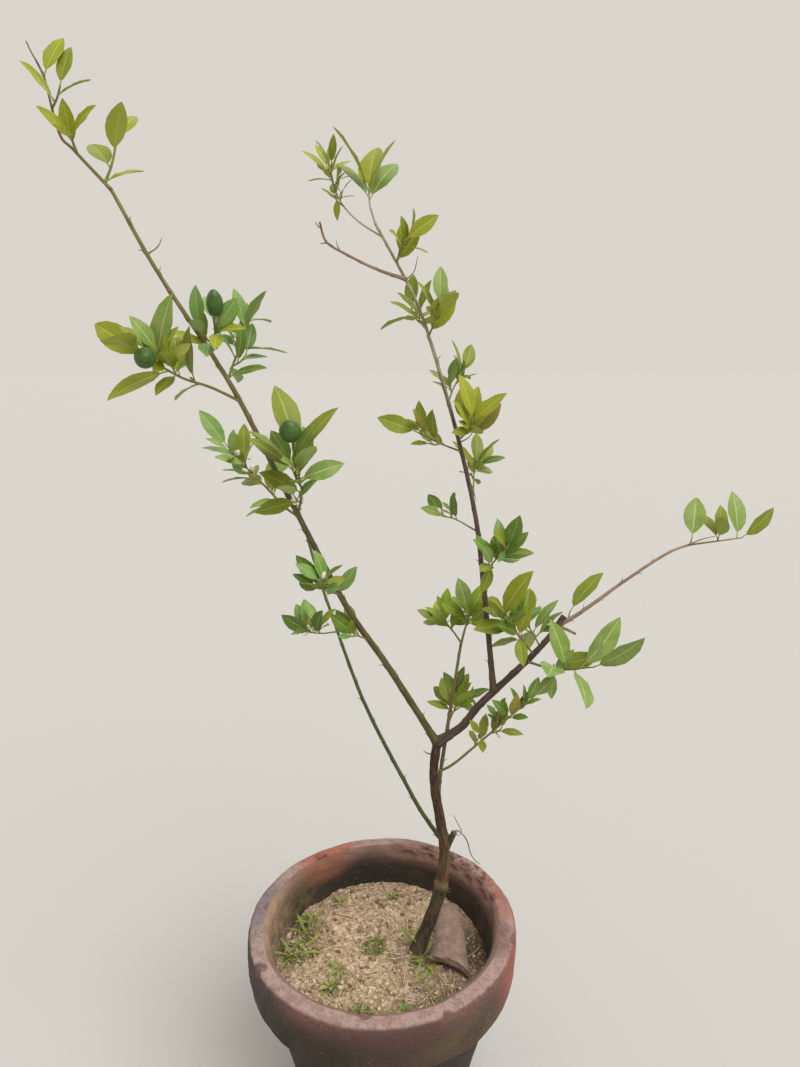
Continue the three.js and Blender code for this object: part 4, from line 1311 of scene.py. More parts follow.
def old_terracotta():
    """An old piece of the same ware, long buried: pinkish grey, pitted, with brown dirt in its
    hollows and a pale limy bloom on its back, and painted shade low down where it meets the soil."""
    material, tree, shader = surface("old_pitted_terracotta", 0.95)
    place = object_place(tree)
    grimy = mottle(place, 12, 0.42, 0.58)
    colour = paint(tree, "#8a7265", [
        (both(grimy, 0.6), "#765f53"),
        (both(mottle(place, 26, 0.44, 0.62), 0.7), "#998273"),
        (both(specks(place, 8, 0.2), 0.6), "#55453a"),
        (both(specks(place, 11, 0.13), 0.5), "#a99788"),
        # Painted shade low on the sherd, at its foot and on its hollow underside
        (both(band(place, "Z", 196, 191), 0.8), "#5c4a3c"),
    ])
    height = add(tree, "TexNoise", {"Vector": place, "Scale": 1 / (3.0 * MM), "Detail": 5.0})[0]
    coat(tree, shader, colour, height, 1.8)
    return material


def grafted_bark():
    """Citrus bark on the grafted trunk. The rootstock is dark olive brown with a scaly face, the
    scion above the graft is smoother, in long tan and green streaks that darken with height."""
    material, tree, shader = surface("grafted_citrus_bark", 0.8, 1.45)
    place = grain_place(tree, 7)
    run = grain_place(tree, 1)
    streaks = mottle(place, 2.6, 0.40, 0.60)
    flakes = mottle(grain_place(tree, 2), 3.2, 0.46, 0.58)
    blotches = mottle(grain_place(tree, 3), 9, 0.45, 0.6)
    scion = band(run, "Z", GRAFT_AT - 4, GRAFT_AT + 6)
    upper = band(run, "Z", 140, 190)
    seam = both(scion, band(run, "Z", GRAFT_AT + 12, GRAFT_AT + 4))
    colour = paint(tree, "#3e3222", [
        (streaks, "#50422e"),
        (both(flakes, 0.7), "#2c241a"),
        (both(blotches, 0.35), "#6a5c42"),
        (scion, "#432f1d"),
        (both(scion, streaks), "#6b5031"),
        (both(scion, flakes, 0.6), "#44402a"),
        (upper, "#3c291b"),
        (both(upper, streaks, 0.8), "#5f452b"),
        (both(upper, flakes, 0.6), "#30241b"),
        (both(seam, 0.6), "#8a7452"),
        (both(band(run, "Z", 5, 0), 0.6), "#74644a"),
    ])
    coat(tree, shader, colour, streaks, 0.5, ranged(flakes, 0.78, 0.92))
    return material


def bough_bark(name, base, streak, dark, pore, tip, fade):
    """Young citrus bark: smooth and a little waxy, in thin streaks along the limb, with small
    pale pores. It goes from brown on old wood to grey or green towards the tip."""
    material, tree, shader = surface(name, 0.7, 1.45)
    run = grain_place(tree, 1)
    streaks = mottle(grain_place(tree, 12), 1.6, 0.42, 0.6)
    blotches = mottle(grain_place(tree, 4), 7, 0.45, 0.6)
    pores = specks(grain_place(tree, 2), 2.6, 0.2)
    colour = paint(tree, base, [
        (both(band(run, "Z", *fade), ranged(blotches, 0.8, 1.0)), tip),
        (both(streaks, 0.7), streak),
        (both(blotches, 0.4), dark),
        (both(pores, 0.5), pore),
    ])
    coat(tree, shader, colour, streaks, 0.12)
    return material


def leaf_side(name, colour, tone, roughness, veins):
    """One side of a citrus leaf: waxy and soft-shining above, dull below. Side veins every 5 mm
    swing forward from the midrib, wider than life so that they show, as a shallow relief."""
    material, tree, shader = surface(name, roughness, 1.36)
    grain = add(tree, "Attribute", attribute_name="grain")["Vector"]
    along, across, _ = add(tree, "SeparateXYZ", {0: grain})[:3]
    out = add(tree, "Math", {0: across}, operation="ABSOLUTE")[0]
    swing = add(tree, "Math", {0: out, 1: -VEIN_SWING, 2: along}, operation="MULTIPLY_ADD")[0]
    wave = add(tree, "Math", {0: swing, 1: TURN / VEIN_GAP}, operation="MULTIPLY")[0]
    vein = add(tree, "Math", {0: wave}, operation="COSINE")[0]
    ridge = add(tree, "MapRange", {0: vein, 1: 0.5, 2: 1.0, 3: 0.0, 4: 1.0})[0]
    patches = mottle(object_place(tree), 16, 0.42, 0.6)
    colour = paint(tree, colour, [(patches, tone), (both(ridge, veins), VEIN_COLOUR)])
    coat(tree, shader, colour, ridge, 0.04)
    return material


def leaf_materials(tint):
    """The three finishes of a leaf in one tint: its upper side, its underside and its midrib."""
    upper, tone, under, rib = LEAF_TINTS[tint]
    rib_finish = plain_matter(f"{tint}_leaf_midrib", rib, rib, 4, 0.5, 0.05)
    return [
        leaf_side(f"{tint}_leaf_upper", upper, tone, 0.48, 0.06),
        leaf_side(f"{tint}_leaf_under", under, under, 0.75, 0.03),
        rib_finish,
    ]


def lemon_rind():
    """The rind of an unripe lemon: dark green, waxy, with oil glands a millimetre apart that
    break its highlight, and paler, yellower patches."""
    material, tree, shader = surface("unripe_lemon_rind", 0.38, 1.45)
    place = object_place(tree)
    glands = specks(place, 1.5, 0.42)
    colour = paint(tree, "#38561d", [
        (mottle(place, 12, 0.42, 0.62), "#456425"),
        (both(glands, 0.3), "#66853c"),
    ])
    coat(tree, shader, colour, apart(glands), 0.2)
    return material


# Pieces

def quadratic(start, pull, end, count):
    """Points on a quadratic curve, without its first."""
    t = np.linspace(0, 1, count + 1)[1:, None]
    start, pull, end = (np.array(p, float) for p in (start, pull, end))
    return list((1 - t) ** 2 * start + 2 * t * (1 - t) * pull + t**2 * end)


def straight(start, end, count):
    """Points on a straight line, without its first."""
    start, end = np.array(start, float), np.array(end, float)
    return [lerp(start, end, k / count) for k in range(1, count + 1)]


def pot_profile(cell):
    """Half of the pot's section, from the middle of its underside up, over the rim and down."""
    collar_foot = POT_HEIGHT - COLLAR_HEIGHT
    neck = collar_foot - NECK_COVE
    belly = lerp(FOOT_RADIUS, NECK_RADIUS, BELLY["share"])
    collar_edge = (COLLAR_RADIUS - EDGE, collar_foot + EDGE)
    rim_foot = POT_HEIGHT - RIM_ROUND
    rim_outer = (COLLAR_RADIUS - RIM_ROUND, POT_HEIGHT)
    rim_inner = (RIM_INNER_RADIUS, POT_HEIGHT)
    throat = (MOUTH_RADIUS, POT_HEIGHT - RIM_THROAT)
    foot_edge = (FOOT_RADIUS - EDGE, 0)
    foot = (FOOT_RADIUS, EDGE)
    shoulder = (COLLAR_RADIUS, rim_foot)

    def cells(length):
        return max(2, round(length / cell))

    points = [np.array([0.0, 0.0])]
    points += straight((0, 0), foot_edge, cells(FOOT_RADIUS / 2))
    points += quadratic(foot_edge, (FOOT_RADIUS, 0), foot, 4)
    points += quadratic(foot, (belly, neck * BELLY["rise"]), (NECK_RADIUS, neck), cells(neck))
    cove = (NECK_RADIUS + EDGE, collar_foot)
    points += quadratic((NECK_RADIUS, neck), cove, collar_edge, cells(ARC_CELLS * NECK_COVE))
    ease = (COLLAR_RADIUS, collar_foot + COLLAR_EASE)
    points += quadratic(collar_edge, ease, shoulder, cells(COLLAR_HEIGHT))
    corner = (COLLAR_RADIUS, POT_HEIGHT)
    points += quadratic(shoulder, corner, rim_outer, cells(ARC_CELLS * RIM_ROUND))
    points += straight(rim_outer, rim_inner, cells(2 * RIM_CREST_WIDTH))
    corner = (MOUTH_RADIUS, POT_HEIGHT)
    points += quadratic(rim_inner, corner, throat, cells(ARC_CELLS * RIM_THROAT))
    points += straight(throat, (SOIL_RADIUS, SOIL_TOP), cells(POT_HEIGHT - SOIL_TOP))
    points += straight((SOIL_RADIUS, SOIL_TOP), (FLOOR_RADIUS, FLOOR), cells(SOIL_TOP / 8))
    points += straight((FLOOR_RADIUS, FLOOR), (0, FLOOR), 6)
    return points


def spin_profile(profile, turns):
    """Turns a profile of (distance from the axis, height) once round Z into a closed skin."""
    bm = bmesh.new()
    verts = [bm.verts.new((r, 0, z)) for r, z in profile]
    edges = [bm.edges.new(pair) for pair in zip(verts, verts[1:])]
    bmesh.ops.spin(
        bm, geom=verts + edges, cent=(0, 0, 0), axis=(0, 0, 1), dvec=(0, 0, 0),
        angle=TURN, steps=turns, use_merge=True, use_duplicate=False,
    )
    bmesh.ops.remove_doubles(bm, verts=bm.verts[:], dist=1e-4)
    bmesh.ops.recalc_face_normals(bm, faces=bm.faces[:])
    return shape_of(bm)


def bearing_of(points):
    """The bearing of each point from the pot's axis, in degrees."""
    return np.degrees(np.arctan2(points[:, 1], points[:, 0]))


def throw_pot(points, dent, grit):
    """What a potter's hands, the kiln and years outdoors do to a true turned skin."""
    radius = np.hypot(points[:, 0], points[:, 1])
    out = np.zeros_like(points)
    worn = radius > TRUE_RADIUS
    out[worn, :2] = points[worn, :2] / radius[worn, None]
    oval = POT_OVAL["deep"] * np.cos(2 * np.radians(bearing_of(points) - POT_OVAL["bearing"]))
    ridges = POT_RIDGE["deep"] * noise_along(points[:, 2], POT_RIDGE["size"])
    rough = dent * cloud(points, POT_DENT["size"]) + grit * cloud(points, POT_GRIT["size"])
    stray = (oval + ridges + rough) * np.clip(points[:, 2] / STRAY_RISE, 0, 1)
    buried = (radius < MOUTH_RADIUS + 1) & (points[:, 2] <= SOIL_TOP - TRUE_BELOW_SOIL)
    points = points + out * np.where(buried, 0, stray)[:, None]
    crest = points[:, 2] > POT_HEIGHT - CREST_WEAR["below"]
    wear = np.abs(CREST_WEAR["deep"] * cloud(points, CREST_WEAR["size"]))
    points[:, 2] -= np.where(crest, wear, 0)
    for bearing, gap, below, reach, cut in RIM_CHIPS:
        place = np.array(chip_place(bearing, gap, below))
        away = np.linalg.norm((points - place) / (1, 1, CHIP_FLATNESS), axis=1)
        crumbs = CHIP_CRUMBS["even"] + CHIP_CRUMBS["rough"] * cloud(points, CHIP_CRUMBS["size"])
        bite = cut * np.clip(1 - (away / reach) ** 2, 0, 1) * crumbs
        inwards = -1 if gap > (COLLAR_RADIUS + MOUTH_RADIUS) / 2 else 1
        way = unit(np.array([place[0], place[1], 0.0])) * inwards - CHIP_FALL * UP
        points = points + bite[:, None] * unit(way)
    return points + out * torn_lip(points)[:, None]


def torn_lip(points):
    """How far the wall just under the rim's inner edge has crumbled away outwards."""
    radius, bearing = np.hypot(points[:, 0], points[:, 1]), bearing_of(points)
    along = np.clip((bearing - TORN_LIP["from"]) / TORN_LIP["fade"], 0, 1)
    along = along * np.clip((TORN_LIP["to"] - bearing) / TORN_LIP["fade"], 0, 1)
    below = (POT_HEIGHT - points[:, 2] - TORN_LIP["below"]) / TORN_LIP["wide"]
    under = np.exp(-(below**2)) * (radius < MOUTH_RADIUS + TORN_LIP["below"])
    crumbs = TORN_CRUMBS["even"] + TORN_CRUMBS["rough"] * cloud(points, TORN_LIP["size"])
    crumbs = crumbs + TORN_CRUMBS["fine"] * cloud(points, TORN_CRUMBS["fine_size"])
    return TORN_LIP["deep"] * along * under * np.clip(crumbs, 0, TORN_CRUMBS["most"])


def noise_along(levels, size):
    """Smooth noise that runs with the height alone, for the ridges of throwing."""
    return np.array([noise.noise(Vector((0.0, 3.7, level / size))) for level in levels])


def soil_height(x, y, bumps=1.0):
    """The soil's level: worn down to the wall, heaped at the trunk, and lumpy."""
    radius = np.hypot(x, y)
    dip = np.clip((radius - SOIL_LEVEL_RADIUS) / (SOIL_RADIUS - SOIL_LEVEL_RADIUS), 0, 1)
    heap = np.exp(-(np.hypot(x - TRUNK_FOOT[0], y - TRUNK_FOOT[1]) / TRUNK_MOUND["reach"]) ** 2)
    flat = np.stack([x, y, np.zeros_like(x)], axis=-1)
    level = SOIL_TOP - SOIL_SINK - SOIL_DIP * dip**1.5 + TRUNK_MOUND["rise"] * heap
    level = level + SOIL_BACK["rise"] * np.clip((y - SOIL_BACK["from"]) / SOIL_BACK["over"], 0, 1)
    for size, rise in SOIL_LUMPS:
        level = level + bumps * rise * cloud(flat.reshape(-1, 3), size).reshape(x.shape)
    sherd_x, sherd_y = SHERD_BED["place"]
    bed = np.exp(-((np.hypot(x - sherd_x, y - sherd_y) / SHERD_BED["reach"]) ** 4))
    return level - SHERD_BED["deep"] * bed * bumps


def placed(shape, scale, spin, at):
    """A small shape stretched, turned about Z and set down."""
    c, s = math.cos(spin), math.sin(spin)
    x, y, z = (shape.points * scale).T
    return np.stack([c * x - s * y, s * x + c * y, z], axis=1) + at


@lru_cache(maxsize=None)
def pebble_shape():
    """A small stone: an uneven ball."""
    bm = bmesh.new()
    bmesh.ops.create_icosphere(bm, subdivisions=1, radius=1)
    shape = shape_of(bm)
    return Shape(shape.points * (1 + 0.25 * cloud(shape.points, 0.7))[:, None], *shape[1:])


@lru_cache(maxsize=None)
def tuft_shape():
    """A moss tuft: a low crown drawn out into five points."""
    bm = bmesh.new()
    bmesh.ops.create_cone(
        bm, cap_ends=True, cap_tris=True, segments=10, radius1=0.6, radius2=0.5, depth=0.5
    )
    for vert in bm.verts:
        angle = math.atan2(vert.co.y, vert.co.x)
        if vert.co.z > 0 and round(angle / (TURN / 10)) % 2 and vert.co.xy.length > 0.1:
            vert.co.xy *= 2.2
            vert.co.z += 0.5
        vert.co.z += 0.25
    return shape_of(bm)


def on_soil(luck, clear=True):
    """A place on the soil's face, evenly spread, and off the potsherd where it is to be clear."""
    while True:
        radius = (SOIL_RADIUS - SOIL_MARGIN) * math.sqrt(next(luck))
        angle = TURN * next(luck)
        x, y = radius * math.cos(angle), radius * math.sin(angle)
        beside = abs(x - SHERD_COVER["middle"]) >= SHERD_COVER["half"]
        if not clear or beside or not SHERD_COVER["front"] < y < SHERD_COVER["back"]:
            return x, y


def plant_seedling(heap, place, count, length, leans, half, luck):
    """A seedling: leaves on short stalks round one point, opening outwards."""
    x, y = place
    foot = np.array([x, y, float(soil_height(np.array([x]), np.array([y]))[0]) - 1])
    shape = blade_shape(*SMALL_BLADE)
    for i in range(count):
        bearing = i * GOLDEN_ANGLE + SEEDLING_TURN * next(luck)
        climb = 90 - lerp(*leans, (i + next(luck)) / count)
        direction = heading(bearing, climb)
        face = unit(square_part(UP, direction) + SEEDLING_LIGHT * LIGHT)
        face = unit(square_part(face, direction))
        size = length * lerp(*SEEDLING_LENGTHS, next(luck))
        leaf = Leaf(foot, direction, face, size, size * half, "", True, SEEDLING_CURL)
        heap.add(shape, *leaf_points(shape, leaf, LEAF_THICK, next(luck)))


def strew_grit(luck, count, lumps):
    """Small stones lying on the soil, in one heap for each tint."""
    heaps = [Heap() for _ in GRIT_TINTS]
    shape = pebble_shape()
    places = np.array([on_soil(luck, clear=False) for _ in range(count)])
    levels = soil_height(places[:, 0], places[:, 1], lumps)
    for (x, y), level in zip(places, levels):
        size = lerp(*GRIT_SIZES, next(luck) ** 2)
        scale = size * np.array([lerp(0.8, 1.3, next(luck)), lerp(0.7, 1.0, next(luck)), 0.7])
        at = np.array([x, y, level + 0.25 * size])
        heap = heaps[int(next(luck) * len(heaps))]
        heap.add(shape, placed(shape, scale, TURN * next(luck), at))
    return heaps


def strew_straw(luck, count, lumps):
    """Dry stalks lying on the soil, each a little bowed."""
    straw = Heap()
    for _ in range(count):
        x, y = on_soil(luck)
        length = lerp(*STRAW_LENGTHS, next(luck) ** 2)
        way = heading(360 * next(luck), 0)
        knots = [np.array([x, y, 0.0]) + way * length * k for k in (-0.5, 0, 0.5)]
        knots[1] += STRAW_BOW * length * (next(luck) - 0.5) * np.cross(way, UP)
        if any(math.hypot(knot[0], knot[1]) >= SOIL_RADIUS - SOIL_MARGIN for knot in knots):
            continue
        for knot in knots:
            level = soil_height(knot[:1], knot[1:2], lumps)[0]
            knot[2] = level + STRAW_LIE + next(luck)
        half = lerp(*STRAW_HALVES, next(luck))
        straw.add(*bend_rod(Route(knots), lambda runs: np.full_like(runs, half), 5, 4))
    return straw


def grow_moss(luck):
    """Moss tufts in patches on the soil."""
    moss, shape = Heap(), tuft_shape()
    for (x, y), wide, count in MOSS_PATCHES:
        angles = TURN * np.array([next(luck) for _ in range(count)])
        gaps = wide / 2 * np.sqrt([next(luck) for _ in range(count)])
        spots = np.stack([x + gaps * np.cos(angles), y + gaps * np.sin(angles)], axis=1)
        spots = spots[np.hypot(spots[:, 0], spots[:, 1]) < SOIL_RADIUS - SOIL_MARGIN]
        levels = soil_height(spots[:, 0], spots[:, 1])
        for spot, level in zip(spots, levels):
            size = lerp(*MOSS_SIZES, next(luck))
            scale = np.array([size, size, size * lerp(*MOSS_RISES, next(luck))])
            moss.add(shape, placed(shape, scale, TURN * next(luck), (*spot, level - 0.3)))
    return moss


def sherd_points(points):
    """A cube of side 1 bent and worn into the old potsherd."""
    u, v, w = (points + 0.5).T
    place = np.stack([u, v, w], axis=1) * SHERD_SPREAD
    u = u + 0.02 * cloud(place, 16) + 0.012 * cloud(place, 5)
    v = v + 0.015 * cloud(place, 14) + 0.010 * cloud(place, 5)
    corners = {name: np.array(corner, float) for name, corner in SHERD_CORNERS.items()}
    front = lerp(corners["front_left"], corners["front_right"], u[:, None])
    back = lerp(corners["back_left"], corners["back_right"], u[:, None])
    arch = SHERD_RISE * 4 * u * (1 - u) * lerp(1, SHERD_BACK_RISE, v)
    gap = np.clip(np.minimum.reduce([u, 1 - u, v * 2, (1 - v) * 2]), 0, 1)
    worn = -SHERD_EDGE["deep"] * np.exp(-gap / SHERD_EDGE["wide"])
    pits = 0.9 * cloud(place, 6) + 0.5 * cloud(place, 2.6) - 0.9 * np.abs(cloud(place, 11))
    level = SOIL_TOP + SHERD_GAP + w * SHERD_THICK + arch
    upper = w > 0.5
    level = level + np.where(upper, worn, 0) + np.where(upper, pits, 0)
    return np.column_stack([lerp(front, back, v[:, None]), level])


def nodes_of(name, limb):
    """Where leaves once stood along a limb: run and turn of each node."""
    luck = luck_from(len(name) * NODE_SEED)
    run, turn = NODES["first"], 360 * next(luck)
    while run < limb.route.length - NODES["last"]:
        yield run, turn
        run += NODES["gap"] * lerp(*NODES["stray"], next(luck))
        turn += GOLDEN_ANGLE


def limb_relief(name, limb, depth):
    """Bark ridges along a limb, a swollen base where it leaves its parent, and its nodes."""
    deep, size = BARK.get(name, SMOOTH_BARK)
    marks = [] if limb.swollen else list(nodes_of(name, limb))

    def relief(grain):
        x, y, run = grain.T
        ridges = cloud(np.stack([x, y, run / 5], axis=1), size)
        flakes = cloud(np.stack([x, y, run / 1.6], axis=1), size * 1.5)
        rise = depth * deep * (ridges + 0.5 * flakes)
        around = np.degrees(np.arctan2(y, x))
        for at, turn in marks:
            swell = NODES["swell"] * np.exp(-(((run - at) / NODES["reach"]) ** 2))
            rise = rise + swell * (0.5 + 0.9 * np.cos(np.radians(around - turn)))
        if not limb.swollen:
            rise = rise + COLLAR_SWELL * limb.thick * np.exp(-run / COLLAR_FADE)
        return rise

    return relief


def add_rod(heap, route, thick, thin, sides, step=2.5, relief=None):
    """A tapering rod from its two diameters."""
    steps = max(3, round(route.length / step))

    def half_at(runs):
        return lerp(thick, thin, runs / route.length) / 2

    heap.add(*bend_rod(route, half_at, sides, steps, relief))


def torn_wood(grain):
    """The rough face of a cut stub."""
    return STUB_ROUGH["deep"] * cloud(grain, STUB_ROUGH["size"])


def foot_swell(thick):
    """How a twig swells where it leaves its parent."""
    return lambda grain: TWIG_SWELL["share"] * thick * np.exp(-grain[:, 2] / TWIG_SWELL["fade"])


def limb_heap(name, limb, depth):
    """A limb with its bark, and the cut stubs on it."""
    steps = round(limb.route.length / RING_STEP.get(name, FINE_RING_STEP))
    sides = RING_SIDES.get(name, FINE_RING_SIDES)
    foot = ROOT_DEPTH if limb.swollen else 0.0
    heap, relief = Heap(), limb_relief(name, limb, depth)
    heap.add(*bend_rod(limb.route, limb.half_at, sides, steps, relief, foot))
    for on, at, thick, thin, courses in STUBS:
        if on == name:
            route = route_of(limb.route.at_run(at), courses)
            add_rod(heap, route, thick, thin, 20, 1.2, torn_wood)
    return heap


def spine_heap(limbs):
    """A spine at each node of the limbs that bear them."""
    heap = Heap()
    for name in SPINY:
        limb = limbs[name]
        luck = luck_from(len(name) * SPINE_SEED)
        for run, turn in nodes_of(name, limb):
            along = limb.route.along(run / limb.route.length)
            direction, _ = aim_leaf(along, turn, SPINE_AIM["spread"], SPINE_AIM["lift"])
            length = lerp(*SPINE_LENGTHS, next(luck))
            sunk = float(limb.half_at(np.array(run))) * 0.7
            start = limb.route.at_run(run) + direction * sunk
            add_rod(heap, Route([start, start + direction * length]), SPINE_THICK, SPINE_TIP, 5)
    return heap


def twiglet_heap(growth):
    """The dead twiglets, on limbs and on the stems of sprays."""
    routes = {twig.spray: twig.route for twig in reversed(growth.twigs)}
    routes.update({name: limb.route for name, limb in growth.limbs.items()})
    heap = Heap()
    for on, at, thick, thin, courses in TWIGLETS:
        add_rod(heap, route_of(routes[on].at_run(at), courses), thick, thin, 8)
    return heap


def bud_shape():
    """A ball for a flower bud, with a finish of its own round its base."""
    bm = bmesh.new()
    bmesh.ops.create_uvsphere(bm, u_segments=12, v_segments=9, radius=1)
    for face in bm.faces:
        face.material_index = int(face.calc_center_median().z < BUD_BASE)
    return shape_of(bm)


def ball_on(axis, centre, points):
    """Points of a unit ball turned so that its +Z follows an axis."""
    side, over = square_to(np.array([axis]))
    x, y, z = points.T
    return centre + x[:, None] * side[0] + y[:, None] * over[0] + z[:, None] * axis


def lemon_points(ball, fruit):
    """A ball drawn out into a lemon with its tip and its seat, a little uneven."""
    long = FRUIT_LONG[fruit.spray]
    x, y, z = ball.points.T
    tip = FRUIT_NIPPLE * np.exp(-((z - 1) ** 2) / FRUIT_POINTED)
    seat = FRUIT_NECK * np.exp(-((z + 1) ** 2) / FRUIT_POINTED)
    wide = 1 / math.sqrt(long)
    local = np.stack([x * wide, y * wide, z * long + tip + seat], axis=1) * fruit.radius
    local = local * (1 + FRUIT_LUMPS["deep"] * cloud(local, FRUIT_LUMPS["size"]))[:, None]
    return ball_on(fruit.axis, fruit.centre, local)


# Settings

class PotSettings(PropertyGroup):
    cell: FloatProperty(
        name="Cell", description="Length of a face along the pot's profile", default=POT_CELL * MM,
        min=0.001, subtype="DISTANCE", unit="LENGTH",
    )
    dent: FloatProperty(
        name="Dents", description="Depth of the hollows that the maker's hands left",
        default=POT_DENT["deep"] * MM, min=0, subtype="DISTANCE", unit="LENGTH",
    )
    grit: FloatProperty(
        name="Grit", description="Depth of the wall's coarse grain",
        default=POT_GRIT["deep"] * MM, min=0, subtype="DISTANCE", unit="LENGTH",
    )


class SoilSettings(PropertyGroup):
    lumps: FloatProperty(
        name="Lumps", description="How lumpy the soil is", default=1.0, min=0, max=2,
        subtype="FACTOR",
    )
    stones: IntProperty(
        name="Stones", description="Number of small stones on the soil", default=GRIT_COUNT, min=0,
    )
    straws: IntProperty(
        name="Straws", description="Number of dry stalks on the soil", default=STRAW_COUNT, min=0,
    )


class TreeSettings(PropertyGroup):
    bark_relief: FloatProperty(
        name="Bark relief", description="How deep the bark's ridges are", default=1.0, min=0, max=3,
        subtype="FACTOR",
    )
    fine_growth: FloatProperty(
        name="Fine growth", description="How many axil shoots grow among the main leaves",
        default=1.0, min=0, max=2, subtype="FACTOR",
    )
    leaf_thickness: FloatProperty(
        name="Leaf thickness", description="Thickness of a blade at its middle",
        default=LEAF_THICK * MM, min=0.0002, subtype="DISTANCE", unit="LENGTH",
    )


class StageSettings(PropertyGroup):
    floor: FloatVectorProperty(
        name="Floor", description="Colour of the pale floor and of the light around it",
        default=linear(FLOOR_COLOUR)[:3], size=3, min=0, max=1, subtype="COLOR",
    )
    lens: FloatProperty(
        name="Lens", description="Focal length that gives the photo's view",
        default=CAMERA_LENS, min=10, subtype="DISTANCE_CAMERA",
    )
    tilt: FloatProperty(
        name="Tilt", description="How far the camera looks down",
        default=math.radians(CAMERA_TILT), subtype="ANGLE", unit="ROTATION",
    )


# Operators

class LEMON_OT_pot(Operator):
    """Throws the weathered clay pot"""

    bl_idname = "lemon.pot"
    bl_label = "Clay Pot"

    def execute(self, context):
        settings = context.scene.lemon_pot
        skin = spin_profile(pot_profile(settings.cell / MM), POT_TURNS)
        radius = np.hypot(skin.points[:, 0], skin.points[:, 1])
        points = throw_pot(skin.points, settings.dent / MM, settings.grit / MM)
        mouth = (radius < RIM_INNER_RADIUS - EDGE) & (skin.points[:, 2] > FLOOR)
        finishes = [int(all(mouth[v] for v in face)) for face in skin.faces]
        heap = Heap()
        heap.add(Shape(skin.points, skin.faces, finishes), points)
        make_piece("clay_pot", heap, [weathered_terracotta(), inner_clay()], "clay", ["pot"])
        return {"FINISHED"}


class LEMON_OT_soil(Operator):
    """Fills the pot with soil, worn down along the wall"""

    bl_idname = "lemon.soil"
    bl_label = "Soil"

    def execute(self, context):
        lumps = context.scene.lemon_soil.lumps
        bm = bmesh.new()
        bmesh.ops.create_grid(bm, x_segments=SOIL_CELLS, y_segments=SOIL_CELLS, size=1)
        border = [e for e in bm.edges if e.is_boundary]
        skirt = bmesh.ops.extrude_edge_only(bm, edges=border)["geom"]
        low = set(of_kind(bmesh.types.BMVert, skirt))
        hem = [edge for edge in of_kind(bmesh.types.BMEdge, skirt) if edge.is_boundary]
        bmesh.ops.edgeloop_fill(bm, edges=hem)
        bmesh.ops.recalc_face_normals(bm, faces=bm.faces[:])
        bm.verts.index_update()
        sunk = np.array([v in low for v in bm.verts])
        shape = shape_of(bm)
        u, v = shape.points[:, 0], shape.points[:, 1]
        x = SOIL_RADIUS * u * np.sqrt(1 - v**2 / 2)
        y = SOIL_RADIUS * v * np.sqrt(1 - u**2 / 2)
        level = np.where(sunk, SOIL_TOP - SOIL_DEPTH, soil_height(x, y, lumps))
        narrow = np.where(sunk, SOIL_SKIRT, 1.0)
        heap = Heap()
        heap.add(shape, np.stack([x * narrow, y * narrow, level], axis=1))
        make_piece("potting_soil", heap, [sandy_soil()], "soil", ["soil"])
        return {"FINISHED"}


class LEMON_OT_litter(Operator):
    """Strews small stones and dry stalks on the soil"""

    bl_idname = "lemon.litter"
    bl_label = "Stones and Straw"

    def execute(self, context):
        settings = context.scene.lemon_soil
        luck = luck_from(LITTER_SEED)
        heaps = strew_grit(luck, settings.stones, settings.lumps)
        for (name, colour, tone), heap in zip(GRIT_TINTS, heaps):
            grit = plain_matter(name, colour, tone, 2, 0.9, 0.3)
            make_piece(name, heap, [grit], "soil", ["soil"])
        straw = strew_straw(luck, settings.straws, settings.lumps)
        dry = plain_matter("dry_grass_straw", "#d8c398", "#b39b70", 6, 0.75, 0.1)
        make_piece("straw_litter", straw, [dry, dry], "soil", ["soil"])
        return {"FINISHED"}


class LEMON_OT_seedlings(Operator):
    """Grows weed seedlings and moss on the soil"""

    bl_idname = "lemon.seedlings"
    bl_label = "Seedlings and Moss"

    def execute(self, context):
        luck = luck_from(SEEDLING_SEED)
        heaps = {}
        for place, count, length, leans, half, tint in SEEDLINGS:
            heap = heaps.setdefault(f"seedling_{tint}", Heap())
            plant_seedling(heap, place, count, length, leans, half, luck)
        for tint, heap in heaps.items():
            make_piece(tint, heap, leaf_materials(tint), "foliage", ["soil"], LEAF_RIM)
        green = plain_matter("soil_moss", "#626638", "#83834a", 7, 0.9, 0.2)
        make_piece("moss_tufts", grow_moss(luck), [green], "foliage", ["soil"])
        return {"FINISHED"}


class LEMON_OT_potsherd(Operator):
    """Lays the old curved potsherd on the soil, hollow side down"""

    bl_idname = "lemon.potsherd"
    bl_label = "Potsherd"

    def execute(self, context):
        bm = bmesh.new()
        bmesh.ops.create_cube(bm, size=1)
        bmesh.ops.subdivide_edges(bm, edges=bm.edges[:], cuts=SHERD_CUTS, use_grid_fill=True)
        shape = shape_of(bm)
        heap = Heap()
        heap.add(shape, sherd_points(shape.points))
        clay = old_terracotta()
        make_piece("old_potsherd", heap, [clay], "old_clay", ["potsherd"], SHERD_SHARP)
        return {"FINISHED"}


